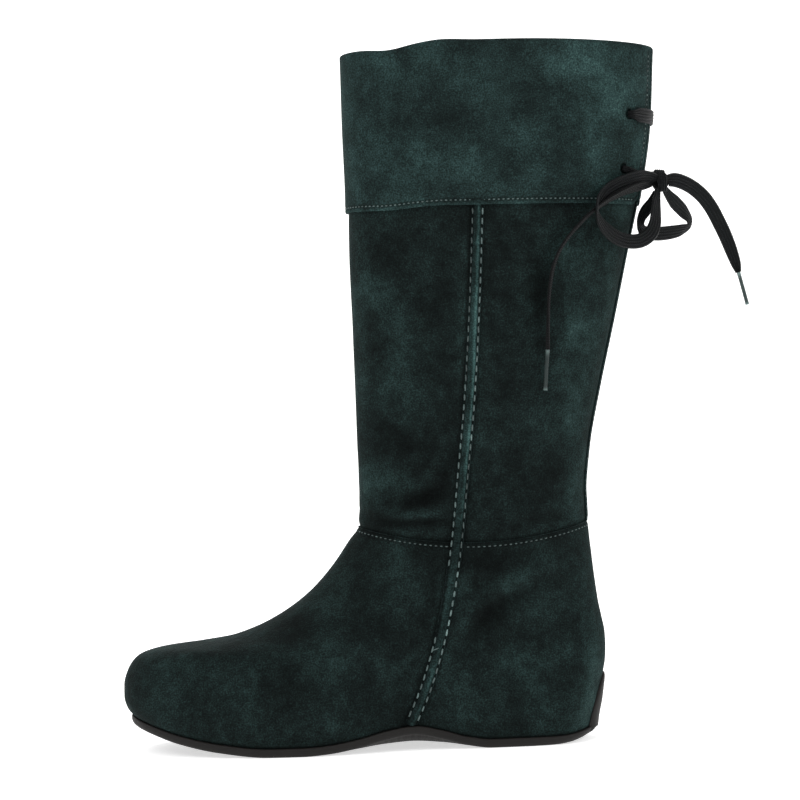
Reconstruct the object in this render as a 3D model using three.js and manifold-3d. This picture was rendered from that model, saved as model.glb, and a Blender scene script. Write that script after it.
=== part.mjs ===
// Left mid-calf suede boot with a turned-over laced cuff and a low cupped rubber sole.
// Millimetres, +Z up. The origin is on the floor under the heel, the toe points to -X and
// the outer (lateral) side of the foot is at -Y.
import * as THREE from 'three';
import { mergeVertices } from 'three/addons/utils/BufferGeometryUtils.js';
import Module from 'manifold-3d';

const wasm = await Module();
wasm.setup();

// Foot and shaft sizes
const FOOT_LENGTH = 254; // back of the heel to the tip of the toe, over the upper
const HEEL_SETBACK = 45; // origin to the back of the heel
const BALL_WIDTH = 88; // across the ball of the foot at the footprint's scale
const TOE_SWING = 3; // how far the toe tip leans to the inner side
const ANKLE_HEIGHT = 112.5; // floor to the ankle seam, at its front and its back
const ANKLE_DEPTH = 119.7; // shaft at the ankle seam, front to back
const ANKLE_WIDTH = 62;
const ANKLE_DIP = 8; // how far the ankle seam dips on the sides of the foot
const HEEL_CURVE = 8.3; // from the back of the heel forward to the back of the ankle
const SHAFT_TOP = 359.7; // floor to the rim of the shaft, at its front and its back
const RIM_CROWN = 2.8; // how much higher the rim is on the sides
const TOP_WIDTH = 73;
const FRONT_LEAN = 1.4; // front of the rim ahead of the front of the ankle
const BACK_FLARE = 39.6; // back of the rim behind the back of the ankle
const RIM_BLUNTNESS = 1.08; // ends of the rim's oval, 1 for a true oval

// Leather and fits
const WALL = 2; // suede with its lining
const GAP = 0.3; // between pieces that touch
const SEAM_STEP = 0.7; // edge of the foot part over the shaft, at the ankle seam
const LASTING_MARGIN = 9; // upper turned in under the insole
const INSOLE_THICKNESS = 3;
const INSOLE_CLEARANCE = 0.5;

// Sole
const SOLE_THICKNESS = 4.6; // height of the visible edge band
const SOLE_LEDGE = 1.6; // sole edge outside the line where the upper is lasted
const EDGE_ROUND = 2.6; // rounding of the sole's lower edge
const HEEL_ROUND = 7; // the same at the back of the heel
const HEEL_RISE = 4; // rise of the sole at the back of the heel
const TOE_SPRING = 16; // rise of the sole at the toe tip
const ARCH_RISE = 8.5;
const TAB_HEIGHT = 24; // heel wrap tab, up from the sole's upper edge
const TAB_WIDTH = 25;
const TAB_THICKNESS = 1.8;
const TAB_ROOT = 3; // depth to which the tab goes down into the sole

// Cuff
const CUFF_HEIGHT = 81; // rim of the shaft down to the cuff's lower edge
const CUFF_THICKNESS = 1.6;
const CUFF_LIP = 7; // part of the cuff that goes down inside the shaft
const SLIT_SIDE = 8; // slit in the cuff, off the back line to the outer side
const SLIT_GAP = 1.6;
const FLAP_CORNER = 7; // rounding of the lower corners of the two flaps
const CUFF_CROWN = 0.4; // share of the rim's crown that the cuff's lower edge has
const HOLE_HEIGHT = 5.2;
const HOLE_WIDTH = 4.4;
const HOLE_BACK = 18; // from the flap's edge to the middle of a hole
const UPPER_HOLES = 34.3; // rim of the shaft down to the upper pair of holes
const LOWER_HOLES = 61.7;

// Strips
const STRIP_WIDTH = 6.6;
const STRIP_RISE = 1.4;
const STRIP_FOOT_CLEARANCE = 1.2; // sole's upper edge to the end of a side strip
const HOLLOW_CLEARANCE = 0.5; // a side strip bridges the hollow of the arch by this much more
const HOLLOW_REACH = 0.1; // over this share of its length
const BACK_STRIP_WIDTH = 7;
const BACK_STRIP_RISE = 1;
const BACK_STRIP_SIDE = 1.2; // middle of the back strip, off the back line to the outer side

// Lace
const LACE_WIDTH = 7.6; // flat braid, where it crosses the back of the cuff
const LACE_THICKNESS = 1.5;
const LACE_GATHER = 3.2; // width where it is drawn into a hole
const CORD_WIDTH = 3.2; // plain round stand-in for the loops and free ends
const KNOT_LENGTH = 11;
const KNOT_WIDTH = 8.5;
const AGLET_WIDTH = 1.9;
const LEAD_DROP = 2; // fall of a lead from its hole to the flap's edge

// Numbers of facets
const ROUND = 48; // columns round the upper
const TANGENT_STEP = 1e-3; // small step for tangents

// Rise of the sole's underside along the foot, 0 at the back of the heel and 1 at the tip of the toe.
// arch is a share of ARCH_RISE, toe a share of TOE_SPRING and heel a share of HEEL_RISE.
const SOLE_LINE = [
  { along: 0.0, heel: 1, arch: 0, toe: 0 },
  { along: 0.028, heel: 0.58, arch: 0, toe: 0 },
  { along: 0.055, heel: 0.27, arch: 0, toe: 0 },
  { along: 0.085, heel: 0.07, arch: 0, toe: 0 },
  { along: 0.12, heel: 0, arch: 0, toe: 0 },
  { along: 0.245, heel: 0, arch: 0, toe: 0 },
  { along: 0.295, heel: 0, arch: 0.2, toe: 0 },
  { along: 0.35, heel: 0, arch: 0.68, toe: 0 },
  { along: 0.405, heel: 0, arch: 1, toe: 0 },
  { along: 0.46, heel: 0, arch: 0.78, toe: 0 },
  { along: 0.52, heel: 0, arch: 0.36, toe: 0 },
  { along: 0.58, heel: 0, arch: 0.09, toe: 0 },
  { along: 0.63, heel: 0, arch: 0, toe: 0 },
  { along: 0.7, heel: 0, arch: 0, toe: 0 },
  { along: 0.8, heel: 0, arch: 0, toe: 0.15 },
  { along: 0.88, heel: 0, arch: 0, toe: 0.4 },
  { along: 0.94, heel: 0, arch: 0, toe: 0.69 },
  { along: 1.0, heel: 0, arch: 0, toe: 1 },
];

// Footprint, from the back of the heel to the toe. Each value is the half width as a share of
// the half width of an oval of the ball's width at the same place.
const FOOTPRINT = [
  { along: 0.0, outer: 1.28, inner: 1.28 },
  { along: 0.05, outer: 1.21, inner: 1.21 },
  { along: 0.12, outer: 0.995, inner: 0.995 },
  { along: 0.2, outer: 0.853, inner: 0.84 },
  { along: 0.3, outer: 0.783, inner: 0.7 },
  { along: 0.4, outer: 0.805, inner: 0.625 },
  { along: 0.5, outer: 0.894, inner: 0.68 },
  { along: 0.6, outer: 1.005, inner: 0.83 },
  { along: 0.66, outer: 1.055, inner: 0.955 },
  { along: 0.72, outer: 1.09, inner: 1.08 },
  { along: 0.8, outer: 1.12, inner: 1.2 },
  { along: 0.88, outer: 1.16, inner: 1.3 },
  { along: 0.95, outer: 1.22, inner: 1.4 },
  { along: 1.0, outer: 1.27, inner: 1.45 },
];

// Sections of the foot part, from the lasted edge up to the ankle seam. Each is a closed loop.
// frontRun: from the toe tip to the front of the ankle; backRun: from the back of the heel to the back
// of the ankle; frontRise and backRise: from the sole's upper edge to the ankle seam; side: half width
// as a share of half the ball's width; print: how much of the footprint's shape it has; toe and heel:
// bluntness of its ends; follow: how much it follows the sole's line; dip: share of ANKLE_DIP.
const FOOT = [
  {
    frontRun: 0.044, frontRise: 0.0, backRun: 1.0, backRise: 0.0, side: 0.966,
    print: 1.0, toe: 1.3, heel: 1.2, follow: 1.0, dip: 0.0,
  },
  {
    frontRun: 0.016, frontRise: 0.042, backRun: 0.82, backRise: 0.056, side: 1.0,
    print: 1.0, toe: 1.3, heel: 1.2, follow: 0.9, dip: 0.0,
  },
  {
    frontRun: 0.002, frontRise: 0.106, backRun: 0.58, backRise: 0.122, side: 1.018,
    print: 1.0, toe: 1.3, heel: 1.2, follow: 0.72, dip: 0.0,
  },
  {
    frontRun: 0.003, frontRise: 0.172, backRun: 0.4, backRise: 0.188, side: 1.012,
    print: 0.98, toe: 1.3, heel: 1.2, follow: 0.52, dip: 0.0,
  },
  {
    frontRun: 0.021, frontRise: 0.254, backRun: 0.21, backRise: 0.254, side: 0.985,
    print: 0.93, toe: 1.32, heel: 1.18, follow: 0.34, dip: 0.0,
  },
  {
    frontRun: 0.067, frontRise: 0.33, backRun: 0.05, backRise: 0.319, side: 0.945,
    print: 0.85, toe: 1.34, heel: 1.16, follow: 0.2, dip: 0.0,
  },
  {
    frontRun: 0.15, frontRise: 0.366, backRun: 0.0, backRise: 0.385, side: 0.905,
    print: 0.73, toe: 1.34, heel: 1.14, follow: 0.1, dip: 0.0,
  },
  {
    frontRun: 0.29, frontRise: 0.387, backRun: 0.03, backRise: 0.451, side: 0.865,
    print: 0.58, toe: 1.3, heel: 1.12, follow: 0.04, dip: 0.0,
  },
  {
    frontRun: 0.428, frontRise: 0.413, backRun: 0.2, backRise: 0.526, side: 0.83,
    print: 0.43, toe: 1.25, heel: 1.1, follow: 0.0, dip: 0.0,
  },
  {
    frontRun: 0.555, frontRise: 0.466, backRun: 0.385, backRise: 0.601, side: 0.8,
    print: 0.3, toe: 1.2, heel: 1.08, follow: 0.0, dip: 0.05,
  },
  {
    frontRun: 0.68, frontRise: 0.55, backRun: 0.52, backRise: 0.681, side: 0.775,
    print: 0.19, toe: 1.15, heel: 1.06, follow: 0.0, dip: 0.15,
  },
  {
    frontRun: 0.792, frontRise: 0.66, backRun: 0.64, backRise: 0.761, side: 0.752,
    print: 0.1, toe: 1.1, heel: 1.04, follow: 0.0, dip: 0.35,
  },
  {
    frontRun: 0.888, frontRise: 0.795, backRun: 0.77, backRise: 0.845, side: 0.73,
    print: 0.04, toe: 1.06, heel: 1.02, follow: 0.0, dip: 0.65,
  },
  {
    frontRun: 0.956, frontRise: 0.918, backRun: 0.9, backRise: 0.925, side: 0.712,
    print: 0.01, toe: 1.03, heel: 1.0, follow: 0.0, dip: 0.9,
  },
  {
    frontRun: 1.0, frontRise: 1.0, backRun: 1.0, backRise: 1.0, side: 0.7045,
    print: 0.0, toe: 1.0, heel: 1.0, follow: 0.0, dip: 1.0,
  },
];

// Sections of the shaft, from the ankle seam (left out, it is the foot's last section) to the rim.
// rise: share of the shaft's height; front: share of FRONT_LEAN; back: share of BACK_FLARE;
// width: share of the way from the ankle's width to the rim's; dip and crown: shares of ANKLE_DIP
// and RIM_CROWN.
const SHAFT = [
  { rise: 0.035, front: -0.5, back: -0.032, width: 0.0, dip: 0.9, crown: 0.0 },
  { rise: 0.075, front: -0.6, back: -0.02, width: 0.02, dip: 0.75, crown: 0.0 },
  { rise: 0.17, front: -0.2, back: 0.05, width: 0.1, dip: 0.5, crown: 0.0 },
  { rise: 0.29, front: 0.0, back: 0.205, width: 0.26, dip: 0.3, crown: 0.0 },
  { rise: 0.43, front: 0.35, back: 0.41, width: 0.46, dip: 0.15, crown: 0.1 },
  { rise: 0.58, front: 0.8, back: 0.62, width: 0.68, dip: 0.05, crown: 0.25 },
  { rise: 0.7, front: 0.55, back: 0.79, width: 0.84, dip: 0.0, crown: 0.45 },
  { rise: 0.84, front: 0.8, back: 0.93, width: 0.95, dip: 0.0, crown: 0.75 },
  { rise: 1.0, front: 1.0, back: 1.0, width: 1.0, dip: 0.0, crown: 1.0 },
];

// Line of a side strip seen from the side. up: share of the way from the sole to the cuff's edge;
// run: share of FOOT_LENGTH forward of the back of the heel.
const SIDE_STRIP = [
  { up: 0.0, run: 0.413 },
  { up: 0.066, run: 0.381 },
  { up: 0.163, run: 0.348 },
  { up: 0.24, run: 0.329 },
  { up: 0.35, run: 0.308 },
  { up: 0.477, run: 0.2925 },
  { up: 0.63, run: 0.2745 },
  { up: 0.82, run: 0.259 },
  { up: 1.0, run: 0.248 },
];

// Lines along a strip, as shares of its half width from its middle, and its thickness at the edge as
// a share of that in the middle
const STRIP_LINES = [-1, -0.62, 0, 0.62, 1];
const SIDE_STRIP_EDGE = 0.45;
const BACK_STRIP_EDGE = 0.5;

// Wrap tab: lines up it and rows across it, the bluntness of its rounded top, how high its side edges
// start as a share of its height, and its thickness at the side edges
const TAB_LINES = [-1, -0.86, -0.6, -0.3, 0, 0.3, 0.6, 0.86, 1];
const TAB_ROWS = [0, 0.02, 0.2, 0.4, 0.6, 0.8, 0.94, 1];
const TAB_BLUNTNESS = 2.4;
const TAB_SIDE_RISE = 0.12;
const TAB_EDGE = 0.55;

// Columns across a flap's rounded corner
const CORNER_COLUMNS = [0, 0.12, 0.35, 0.65, 1];
// Round of the cuff over the rim: its outermost line lies this share of the cuff's thickness out and
// up, and its top is flat between these shares of the wall
const ROLL_OUT = 0.75;
const ROLL_UP = 0.7;
const ROLL_TOP = [0.3, 0.7];

// Rows of a side strip, closer where it bends over the lasted edge
const STRIP_ROWS = [
  0, 0.018, 0.036, 0.054, 0.072, 0.09, 0.11, 0.13, 0.16, 0.19, 0.22, 0.26, 0.3, 0.34, 0.38, 0.42, 0.47, 0.52,
  0.58, 0.64, 0.7, 0.76, 0.82, 0.88, 0.94, 1,
];

// Middle of the bow's knot, behind the flaps, and where the two leads reach it
const KNOT_PLACE = [79.5, -6.5, 291];
const NEAR_LEAD_END = [75.4, -7.2, 294.6];
const FAR_LEAD_END = [79.0, -2.0, 295.0];

// Routes of the lace's loops and free ends
const NEAR_LOOP = [
  [76.9, -9.9, 292.4], [73.2, -14.2, 293.0], [67.4, -20.6, 292.5], [58.9, -26.5, 290.0],
  [51.1, -31.5, 286.5], [45.4, -35.0, 281.6], [43.1, -36.5, 276.0], [44.6, -35.5, 269.8],
  [48.9, -32.0, 264.7], [55.5, -27.0, 260.6], [62.7, -22.5, 259.3], [68.4, -19.0, 260.4],
  [72.9, -16.0, 263.8], [75.3, -14.0, 268.5], [76.0, -13.3, 273.8], [76.4, -12.7, 278.5],
  [77.0, -11.9, 282.5], [77.7, -10.4, 286.5],
];
const FAR_LOOP = [
  [82.3, -4.7, 286.5], [84.6, -2.0, 283.6], [88.2, 2.0, 280.0], [93.0, 6.5, 275.5],
  [96.3, 9.0, 271.3], [95.8, 9.0, 267.6], [91.4, 7.0, 265.6], [84.7, 4.5, 264.4],
  [77.4, 1.5, 264.0], [71.8, -1.0, 265.4], [69.2, -2.5, 268.6], [69.6, -3.5, 272.2],
  [72.0, -4.5, 276.3], [75.5, -4.6, 281.2], [77.8, -3.6, 285.7],
];
const FAR_END = [
  [83.9, -4.8, 291.3], [87.5, -3.4, 291.6], [92.4, -1.0, 290.3], [98.1, 2.0, 287.3],
  [103.4, 4.0, 282.7], [107.6, 5.5, 277.1], [111.1, 6.0, 270.4], [114.7, 6.0, 262.4],
  [117.5, 5.0, 254.4], [119.8, 4.0, 246.9], [120.9, 4.0, 242.7],
];
const FAR_AGLET = [[121.05, 4.0, 242.3], [123.2, 4.0, 233.9], [125.3, 4.0, 225.4]];
const NEAR_END = [
  [74.8, -8.3, 290.1], [70.8, -14.2, 288.7], [65.2, -19.9, 287.2], [58.8, -25.1, 285.0],
  [52.1, -29.0, 282.0], [45.3, -31.7, 278.0], [38.8, -33.5, 273.2], [33.0, -34.0, 267.6],
  [27.1, -34.3, 261.0], [22.7, -34.5, 254.2], [19.9, -34.5, 247.0], [18.2, -34.3, 239.0],
  [17.1, -34.0, 230.1], [16.6, -33.5, 219.9], [16.2, -33.0, 211.7], [16.0, -32.5, 205.0],
];
const NEAR_AGLET = [[16.0, -32.5, 204.6], [15.1, -31.2, 194.0], [14.4, -30.0, 183.9]];

const lerp = THREE.MathUtils.lerp;
const clamp = THREE.MathUtils.clamp;

// Smooth curve through the points (xs, ys) that never overshoots them
function smoothCurve(xs, ys) {
  const last = xs.length - 1;
  const slopes = xs.slice(1).map((x, i) => (ys[i + 1] - ys[i]) / (x - xs[i]));
  const tangents = xs.map((x, i) => {
    if (i === 0) return slopes[0];
    if (i === last) return slopes[last - 1];
    const before = slopes[i - 1];
    const after = slopes[i];
    if (before * after <= 0) return 0;
    const spanBefore = xs[i] - xs[i - 1];
    const spanAfter = xs[i + 1] - xs[i];
    const weight = (spanBefore + 2 * spanAfter) / (3 * (spanBefore + spanAfter));
    return (before * after) / (weight * after + (1 - weight) * before);
  });
  return (value) => {
    const x = clamp(value, xs[0], xs[last]);
    let i = 0;
    while (i < last - 1 && x > xs[i + 1]) i += 1;
    const span = xs[i + 1] - xs[i];
    const t = (x - xs[i]) / span;
    const t2 = t * t;
    const t3 = t2 * t;
    return (
      ys[i] * (2 * t3 - 3 * t2 + 1) +
      ys[i + 1] * (3 * t2 - 2 * t3) +
      span * (tangents[i] * (t3 - 2 * t2 + t) + tangents[i + 1] * (t3 - t2))
    );
  };
}

const column = (rows, name) => rows.map((row) => row[name]);
const tableCurve = (rows, key, name) => smoothCurve(column(rows, key), column(rows, name));

// Sole line
const archAt = tableCurve(SOLE_LINE, 'along', 'arch');
const springAt = tableCurve(SOLE_LINE, 'along', 'toe');
const heelAt = tableCurve(SOLE_LINE, 'along', 'heel');

function soleBottom(x) {
  const along = clamp((HEEL_SETBACK - x) / FOOT_LENGTH, 0, 1);
  return ARCH_RISE * archAt(along) + TOE_SPRING * springAt(along) + HEEL_RISE * heelAt(along);
}

const soleTop = (x) => soleBottom(x) + SOLE_THICKNESS;

// Sections of the upper in millimetres
const toeX = HEEL_SETBACK - FOOT_LENGTH;
const ankleBackX = HEEL_SETBACK - HEEL_CURVE;
const ankleFrontX = ankleBackX - ANKLE_DEPTH;
const halfBall = BALL_WIDTH / 2;
const lastedToeX = lerp(toeX, ankleFrontX, FOOT[0].frontRun);

function footSection(row) {
  const frontX = lerp(toeX, ankleFrontX, row.frontRun);
  const backX = lerp(HEEL_SETBACK, ankleBackX, row.backRun);
  const ankleShare = ANKLE_WIDTH / 2 / (halfBall * FOOT[FOOT.length - 1].side);
  const widthShare = lerp(1, ankleShare, 1 - row.print);
  return {
    frontX,
    backX,
    frontZ: lerp(soleTop(lastedToeX), ANKLE_HEIGHT, row.frontRise),
    backZ: lerp(soleTop(ankleBackX), ANKLE_HEIGHT, row.backRise),
    side: halfBall * row.side * widthShare,
    print: row.print,
    toe: row.toe,
    heel: row.heel,
    follow: row.follow,
    swing: TOE_SWING * row.print,
    bow: -ANKLE_DIP * row.dip,
  };
}

function shaftSection(row) {
  const z = lerp(ANKLE_HEIGHT, SHAFT_TOP, row.rise);
  return {
    frontX: ankleFrontX - FRONT_LEAN * row.front,
    backX: ankleBackX + BACK_FLARE * row.back,
    frontZ: z,
    backZ: z,
    side: lerp(ANKLE_WIDTH, TOP_WIDTH, row.width) / 2,
    print: 0,
    toe: lerp(1, RIM_BLUNTNESS, row.width),
    heel: lerp(1, RIM_BLUNTNESS, row.width),
    follow: 0,
    swing: 0,
    bow: RIM_CROWN * row.crown - ANKLE_DIP * row.dip,
  };
}

const sections = [...FOOT.map(footSection), ...SHAFT.map(shaftSection)];
const SEAM_LEVEL = FOOT.length - 1;
const TOP_LEVEL = sections.length - 1;
const levels = sections.map((_, i) => i);
// Levels of the rings on the outside: one in each section, and closer above the ankle
const LEDGE = 0.02; // from the edge of the foot part up to the shaft under it
const CLOSE_LEVELS = [1, 2, 2.5, 3, 3.5, 4, 4.5].map((step) => SEAM_LEVEL + step);
const OUTER_LEVELS = [
  ...levels.slice(0, SEAM_LEVEL + 1),
  SEAM_LEVEL + LEDGE,
  ...CLOSE_LEVELS,
  ...levels.slice(SEAM_LEVEL + 5),
];
const sectionCurves = Object.fromEntries(
  Object.keys(sections[0]).map((name) => [name, smoothCurve(levels, column(sections, name))]),
);
const outerPrint = tableCurve(FOOTPRINT, 'along', 'outer');
const innerPrint = tableCurve(FOOTPRINT, 'along', 'inner');

// Point of the upper's outside. angle runs once round the boot: 0 at the back, a half turn at the
// front, the outer side in between. level runs up through the sections.
function upperPoint(angle, level) {
  const at = Object.fromEntries(Object.keys(sectionCurves).map((name) => [name, sectionCurves[name](level)]));
  const s = (1 - Math.cos(angle)) / 2;
  const x = lerp(at.backX, at.frontX, s);
  const chord = lerp(soleTop(at.backX), soleTop(at.frontX), s);
  const z = lerp(at.backZ, at.frontZ, s) + at.follow * (soleTop(x) - chord) + at.bow * 4 * s * (1 - s);
  const middle = 2 - (at.heel + at.toe) / 2;
  const oval = at.heel * (1 - s) ** 2 + 2 * middle * s * (1 - s) + at.toe * s ** 2;
  const print = Math.sin(angle) >= 0 ? outerPrint(s) : innerPrint(s);
  const full = lerp(oval, print, at.print);
  return new THREE.Vector3(x, at.swing * s * s - at.side * Math.sin(angle) * full, z);
}

// Unit vector out of the upper
function upperNormal(angle, level) {
  const low = clamp(level - TANGENT_STEP, 0, TOP_LEVEL);
  const high = clamp(level + TANGENT_STEP, 0, TOP_LEVEL);
  const round = upperPoint(angle + TANGENT_STEP, level).sub(upperPoint(angle - TANGENT_STEP, level));
  const up = upperPoint(angle, high).sub(upperPoint(angle, low));
  return up.cross(round).normalize();
}

// Extra thickness of the foot part, whose edge lies over the shaft at the ankle seam
const LAP_LEVELS = 3;
const lap = (level) =>
  (level > SEAM_LEVEL ? 0 : SEAM_STEP * clamp(1 - (SEAM_LEVEL - level) / LAP_LEVELS, 0, 1));
// The same for a strip that runs over the seam and comes down softly above it
const strippedLap = (level) =>
  Math.max(lap(level), SEAM_STEP * clamp(1 - Math.abs(level - SEAM_LEVEL), 0, 1));

const upperOffset = (angle, level, distance) =>
  upperPoint(angle, level).addScaledVector(upperNormal(angle, level), distance);

// Level at which the upper reaches a height at an angle
function levelAtHeight(angle, z) {
  let low = 0;
  let high = TOP_LEVEL;
  for (let i = 0; i < 40; i += 1) {
    const middle = (low + high) / 2;
    if (upperPoint(angle, middle).z < z) low = middle;
    else high = middle;
  }
  return (low + high) / 2;
}

// Angle and level of the upper's outside at (x, z) seen from the side; side is 1 for the outer side
function placeOnSide(x, z, side) {
  let low = 0;
  let high = TOP_LEVEL;
  let angle = 0;
  for (let i = 0; i < 40; i += 1) {
    const level = (low + high) / 2;
    const backX = sectionCurves.backX(level);
    const frontX = sectionCurves.frontX(level);
    angle = Math.acos(clamp(1 - (2 * (x - backX)) / (frontX - backX), -1, 1));
    if (upperPoint(angle, level).z < z) low = level;
    else high = level;
  }
  return { angle: side > 0 ? angle : 2 * Math.PI - angle, level: (low + high) / 2 };
}

// Point of the footprint's outline moved outwards in plan, at a height above the sole's line
function printPoint(angle, outwards, height) {
  const point = upperPoint(angle, 0);
  const round = upperPoint(angle + TANGENT_STEP, 0).sub(upperPoint(angle - TANGENT_STEP, 0));
  const out = new THREE.Vector3(-round.y, round.x, 0).normalize();
  point.addScaledVector(out, outwards);
  point.z = soleTop(point.x) + height;
  return point;
}

// Closed solid from a grid of points whose rows are closed loops. closing is 'loop' where the last
// row joins the first, and 'caps' where the two ends are closed flat.
function gridGeometry(rows, closing) {
  const count = rows[0].length;
  const positions = rows.flatMap((row) => row.flatMap((p) => [p.x, p.y, p.z]));
  const index = [];
  const quad = (a, b, c, d) => index.push(a, b, c, a, c, d);
  const rowTotal = closing === 'loop' ? rows.length : rows.length - 1;
  for (let r = 0; r < rowTotal; r += 1) {
    const next = (r + 1) % rows.length;
    for (let c = 0; c < count; c += 1) {
      const beside = (c + 1) % count;
      quad(r * count + c, r * count + beside, next * count + beside, next * count + c);
    }
  }
  if (closing === 'caps') {
    const capEnd = (r, flip) => {
      const base = r * count;
      for (let c = 0; c < count / 2 - 1; c += 1) {
        const a = base + c;
        const b = base + c + 1;
        const d = base + count - 1 - c;
        const e = base + count - 2 - c;
        const faces = b === e ? [[a, b, d]] : [[a, b, e], [a, e, d]];
        faces.forEach(([p, q, s]) => index.push(...(flip ? [p, s, q] : [p, q, s])));
      }
    };
    capEnd(0, true);
    capEnd(rows.length - 1, false);
  }
  const geometry = new THREE.BufferGeometry();
  geometry.setAttribute('position', new THREE.Float32BufferAttribute(positions, 3));
  geometry.setIndex(index);
  return outwards(geometry);
}

// Turns a closed geometry's faces outwards if they point inwards
function outwards(geometry) {
  const position = geometry.attributes.position;
  const index = geometry.index.array;
  const corner = [new THREE.Vector3(), new THREE.Vector3(), new THREE.Vector3()];
  let volume = 0;
  for (let i = 0; i < index.length; i += 3) {
    corner.forEach((point, n) => point.fromBufferAttribute(position, index[i + n]));
    volume += corner[0].dot(corner[1].clone().cross(corner[2])) / 6;
  }
  if (volume < 0) {
    const turned = [];
    for (let i = 0; i < index.length; i += 3) turned.push(index[i], index[i + 2], index[i + 1]);
    geometry.setIndex(turned);
  }
  return geometry;
}

// Booleans
function toSolid(geometry) {
  const bare = geometry.clone();
  bare.deleteAttribute('normal');
  bare.deleteAttribute('uv');
  const merged = mergeVertices(bare, 1e-4);
  return new wasm.Manifold(
    new wasm.Mesh({
      numProp: 3,
      vertProperties: new Float32Array(merged.attributes.position.array),
      triVerts: new Uint32Array(merged.index.array),
    }),
  );
}

function toGeometry(solid) {
  const mesh = solid.getMesh();
  const geometry = new THREE.BufferGeometry();
  geometry.setAttribute('position', new THREE.BufferAttribute(new Float32Array(mesh.vertProperties), 3));
  geometry.setIndex(new THREE.BufferAttribute(new Uint32Array(mesh.triVerts), 1));
  return geometry;
}

const steps = (count) => Array.from({ length: count + 1 }, (_, i) => i / count);
const turns = (count) => Array.from({ length: count }, (_, i) => (2 * Math.PI * i) / count);

// Outsole: a rounded slab on the footprint, with the wrap tab joined to its heel
function outsoleGeometry() {
  const edgeRound = (x) => {
    const share = clamp((HEEL_SETBACK - x) / (FOOT_LENGTH / 6), 0, 1);
    return lerp(HEEL_ROUND, EDGE_ROUND, share * share * (3 - 2 * share));
  };
  const angles = turns(ROUND);
  const ring = (turn) =>
    angles.map((angle) => {
      const edge = printPoint(angle, SOLE_LEDGE, 0);
      const radius = edgeRound(edge.x);
      const rise = Math.min(radius, SOLE_THICKNESS - EDGE_ROUND / 4);
      const point = printPoint(angle, SOLE_LEDGE - radius * (1 - Math.sin(turn)), 0);
      point.z = soleBottom(point.x) + rise * (1 - Math.cos(turn));
      return point;
    });
  const quarter = Math.PI / 2;
  const rings = steps(3).map((share) => ring(share * quarter));
  rings.push(angles.map((angle) => printPoint(angle, SOLE_LEDGE, -EDGE_ROUND / 6)));
  rings.push(angles.map((angle) => printPoint(angle, SOLE_LEDGE - EDGE_ROUND / 6, 0)));
  const base = cappedRings(rings);
  return toGeometry(toSolid(base).add(toSolid(tabGeometry())));
}

// Stack of plan rings closed by strips across the foot
function cappedRings(rings) {
  const count = rings[0].length;
  const half = count / 2;
  const positions = rings.flatMap((ring) => ring.flatMap((p) => [p.x, p.y, p.z]));
  const index = [];
  for (let r = 0; r + 1 < rings.length; r += 1) {
    for (let c = 0; c < count; c += 1) {
      const beside = (c + 1) % count;
      const a = r * count + c;
      const b = r * count + beside;
      index.push(a, b, b + count, a, b + count, a + count);
    }
  }
  [0, rings.length - 1].forEach((r) => {
    const at = (c) => r * count + ((c + count) % count);
    for (let c = 0; c < half; c += 1) {
      const faces = [];
      if (c > 0) faces.push([at(c), at(c + 1), at(-c)]);
      if (c + 1 < half) faces.push([at(c + 1), at(-c - 1), at(-c)]);
      if (c === 0) faces.splice(0, faces.length, [at(0), at(1), at(-1)]);
      faces.forEach(([p, q, s]) => index.push(...(r === 0 ? [p, s, q] : [p, q, s])));
    }
  });
  const geometry = new THREE.BufferGeometry();
  geometry.setAttribute('position', new THREE.Float32BufferAttribute(positions, 3));
  geometry.setIndex(index);
  return outwards(geometry);
}

// Solid that lies on the upper between two distances from it. place(u, v) gives an angle and a
// level, u runs across and v along; near and far are the distances; sink lowers the first row.
function patchGeometry({ place, across, along, near, far, sink = 0 }) {
  const row = (v, rowIndex) => {
    const point = (u, distance) => {
      const { angle, level } = place(u, v);
      const result = upperOffset(angle, level, strippedLap(level) + distance);
      if (rowIndex === 0) result.z -= sink;
      return result;
    };
    const outer = across.map((u) => point(u, near(v) + far(u)));
    const inner = [...across].reverse().map((u) => point(u, near(v)));
    return [...outer, ...inner];
  };
  return gridGeometry(along.map(row), 'caps');
}

function tabGeometry() {
  const topLevel = levelAtHeight(0, soleTop(HEEL_SETBACK) + TAB_HEIGHT);
  const sideAngle = Math.asin(TAB_WIDTH / 2 / (halfBall * outerPrint(0)));
  const place = (u, v) => {
    const shoulder = Math.sqrt(Math.max(0, 1 - Math.abs(u) ** TAB_BLUNTNESS));
    return { angle: u * sideAngle, level: v * topLevel * lerp(TAB_SIDE_RISE, 1, shoulder) };
  };
  return patchGeometry({
    place,
    across: TAB_LINES,
    along: TAB_ROWS,
    near: () => GAP,
    far: (u) => TAB_THICKNESS * lerp(1, TAB_EDGE, u ** 4),
    sink: TAB_ROOT,
  });
}

// Insole on the lasting margin
function insoleGeometry() {
  const base = GAP + WALL + GAP;
  const angles = turns(ROUND);
  const edge = (angle, height) => {
    const point = upperOffset(angle, 0, -WALL - INSOLE_CLEARANCE);
    point.z = soleTop(point.x) + base + height;
    return point;
  };
  return cappedRings([0, INSOLE_THICKNESS].map((height) => angles.map((angle) => edge(angle, height))));
}

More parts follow.
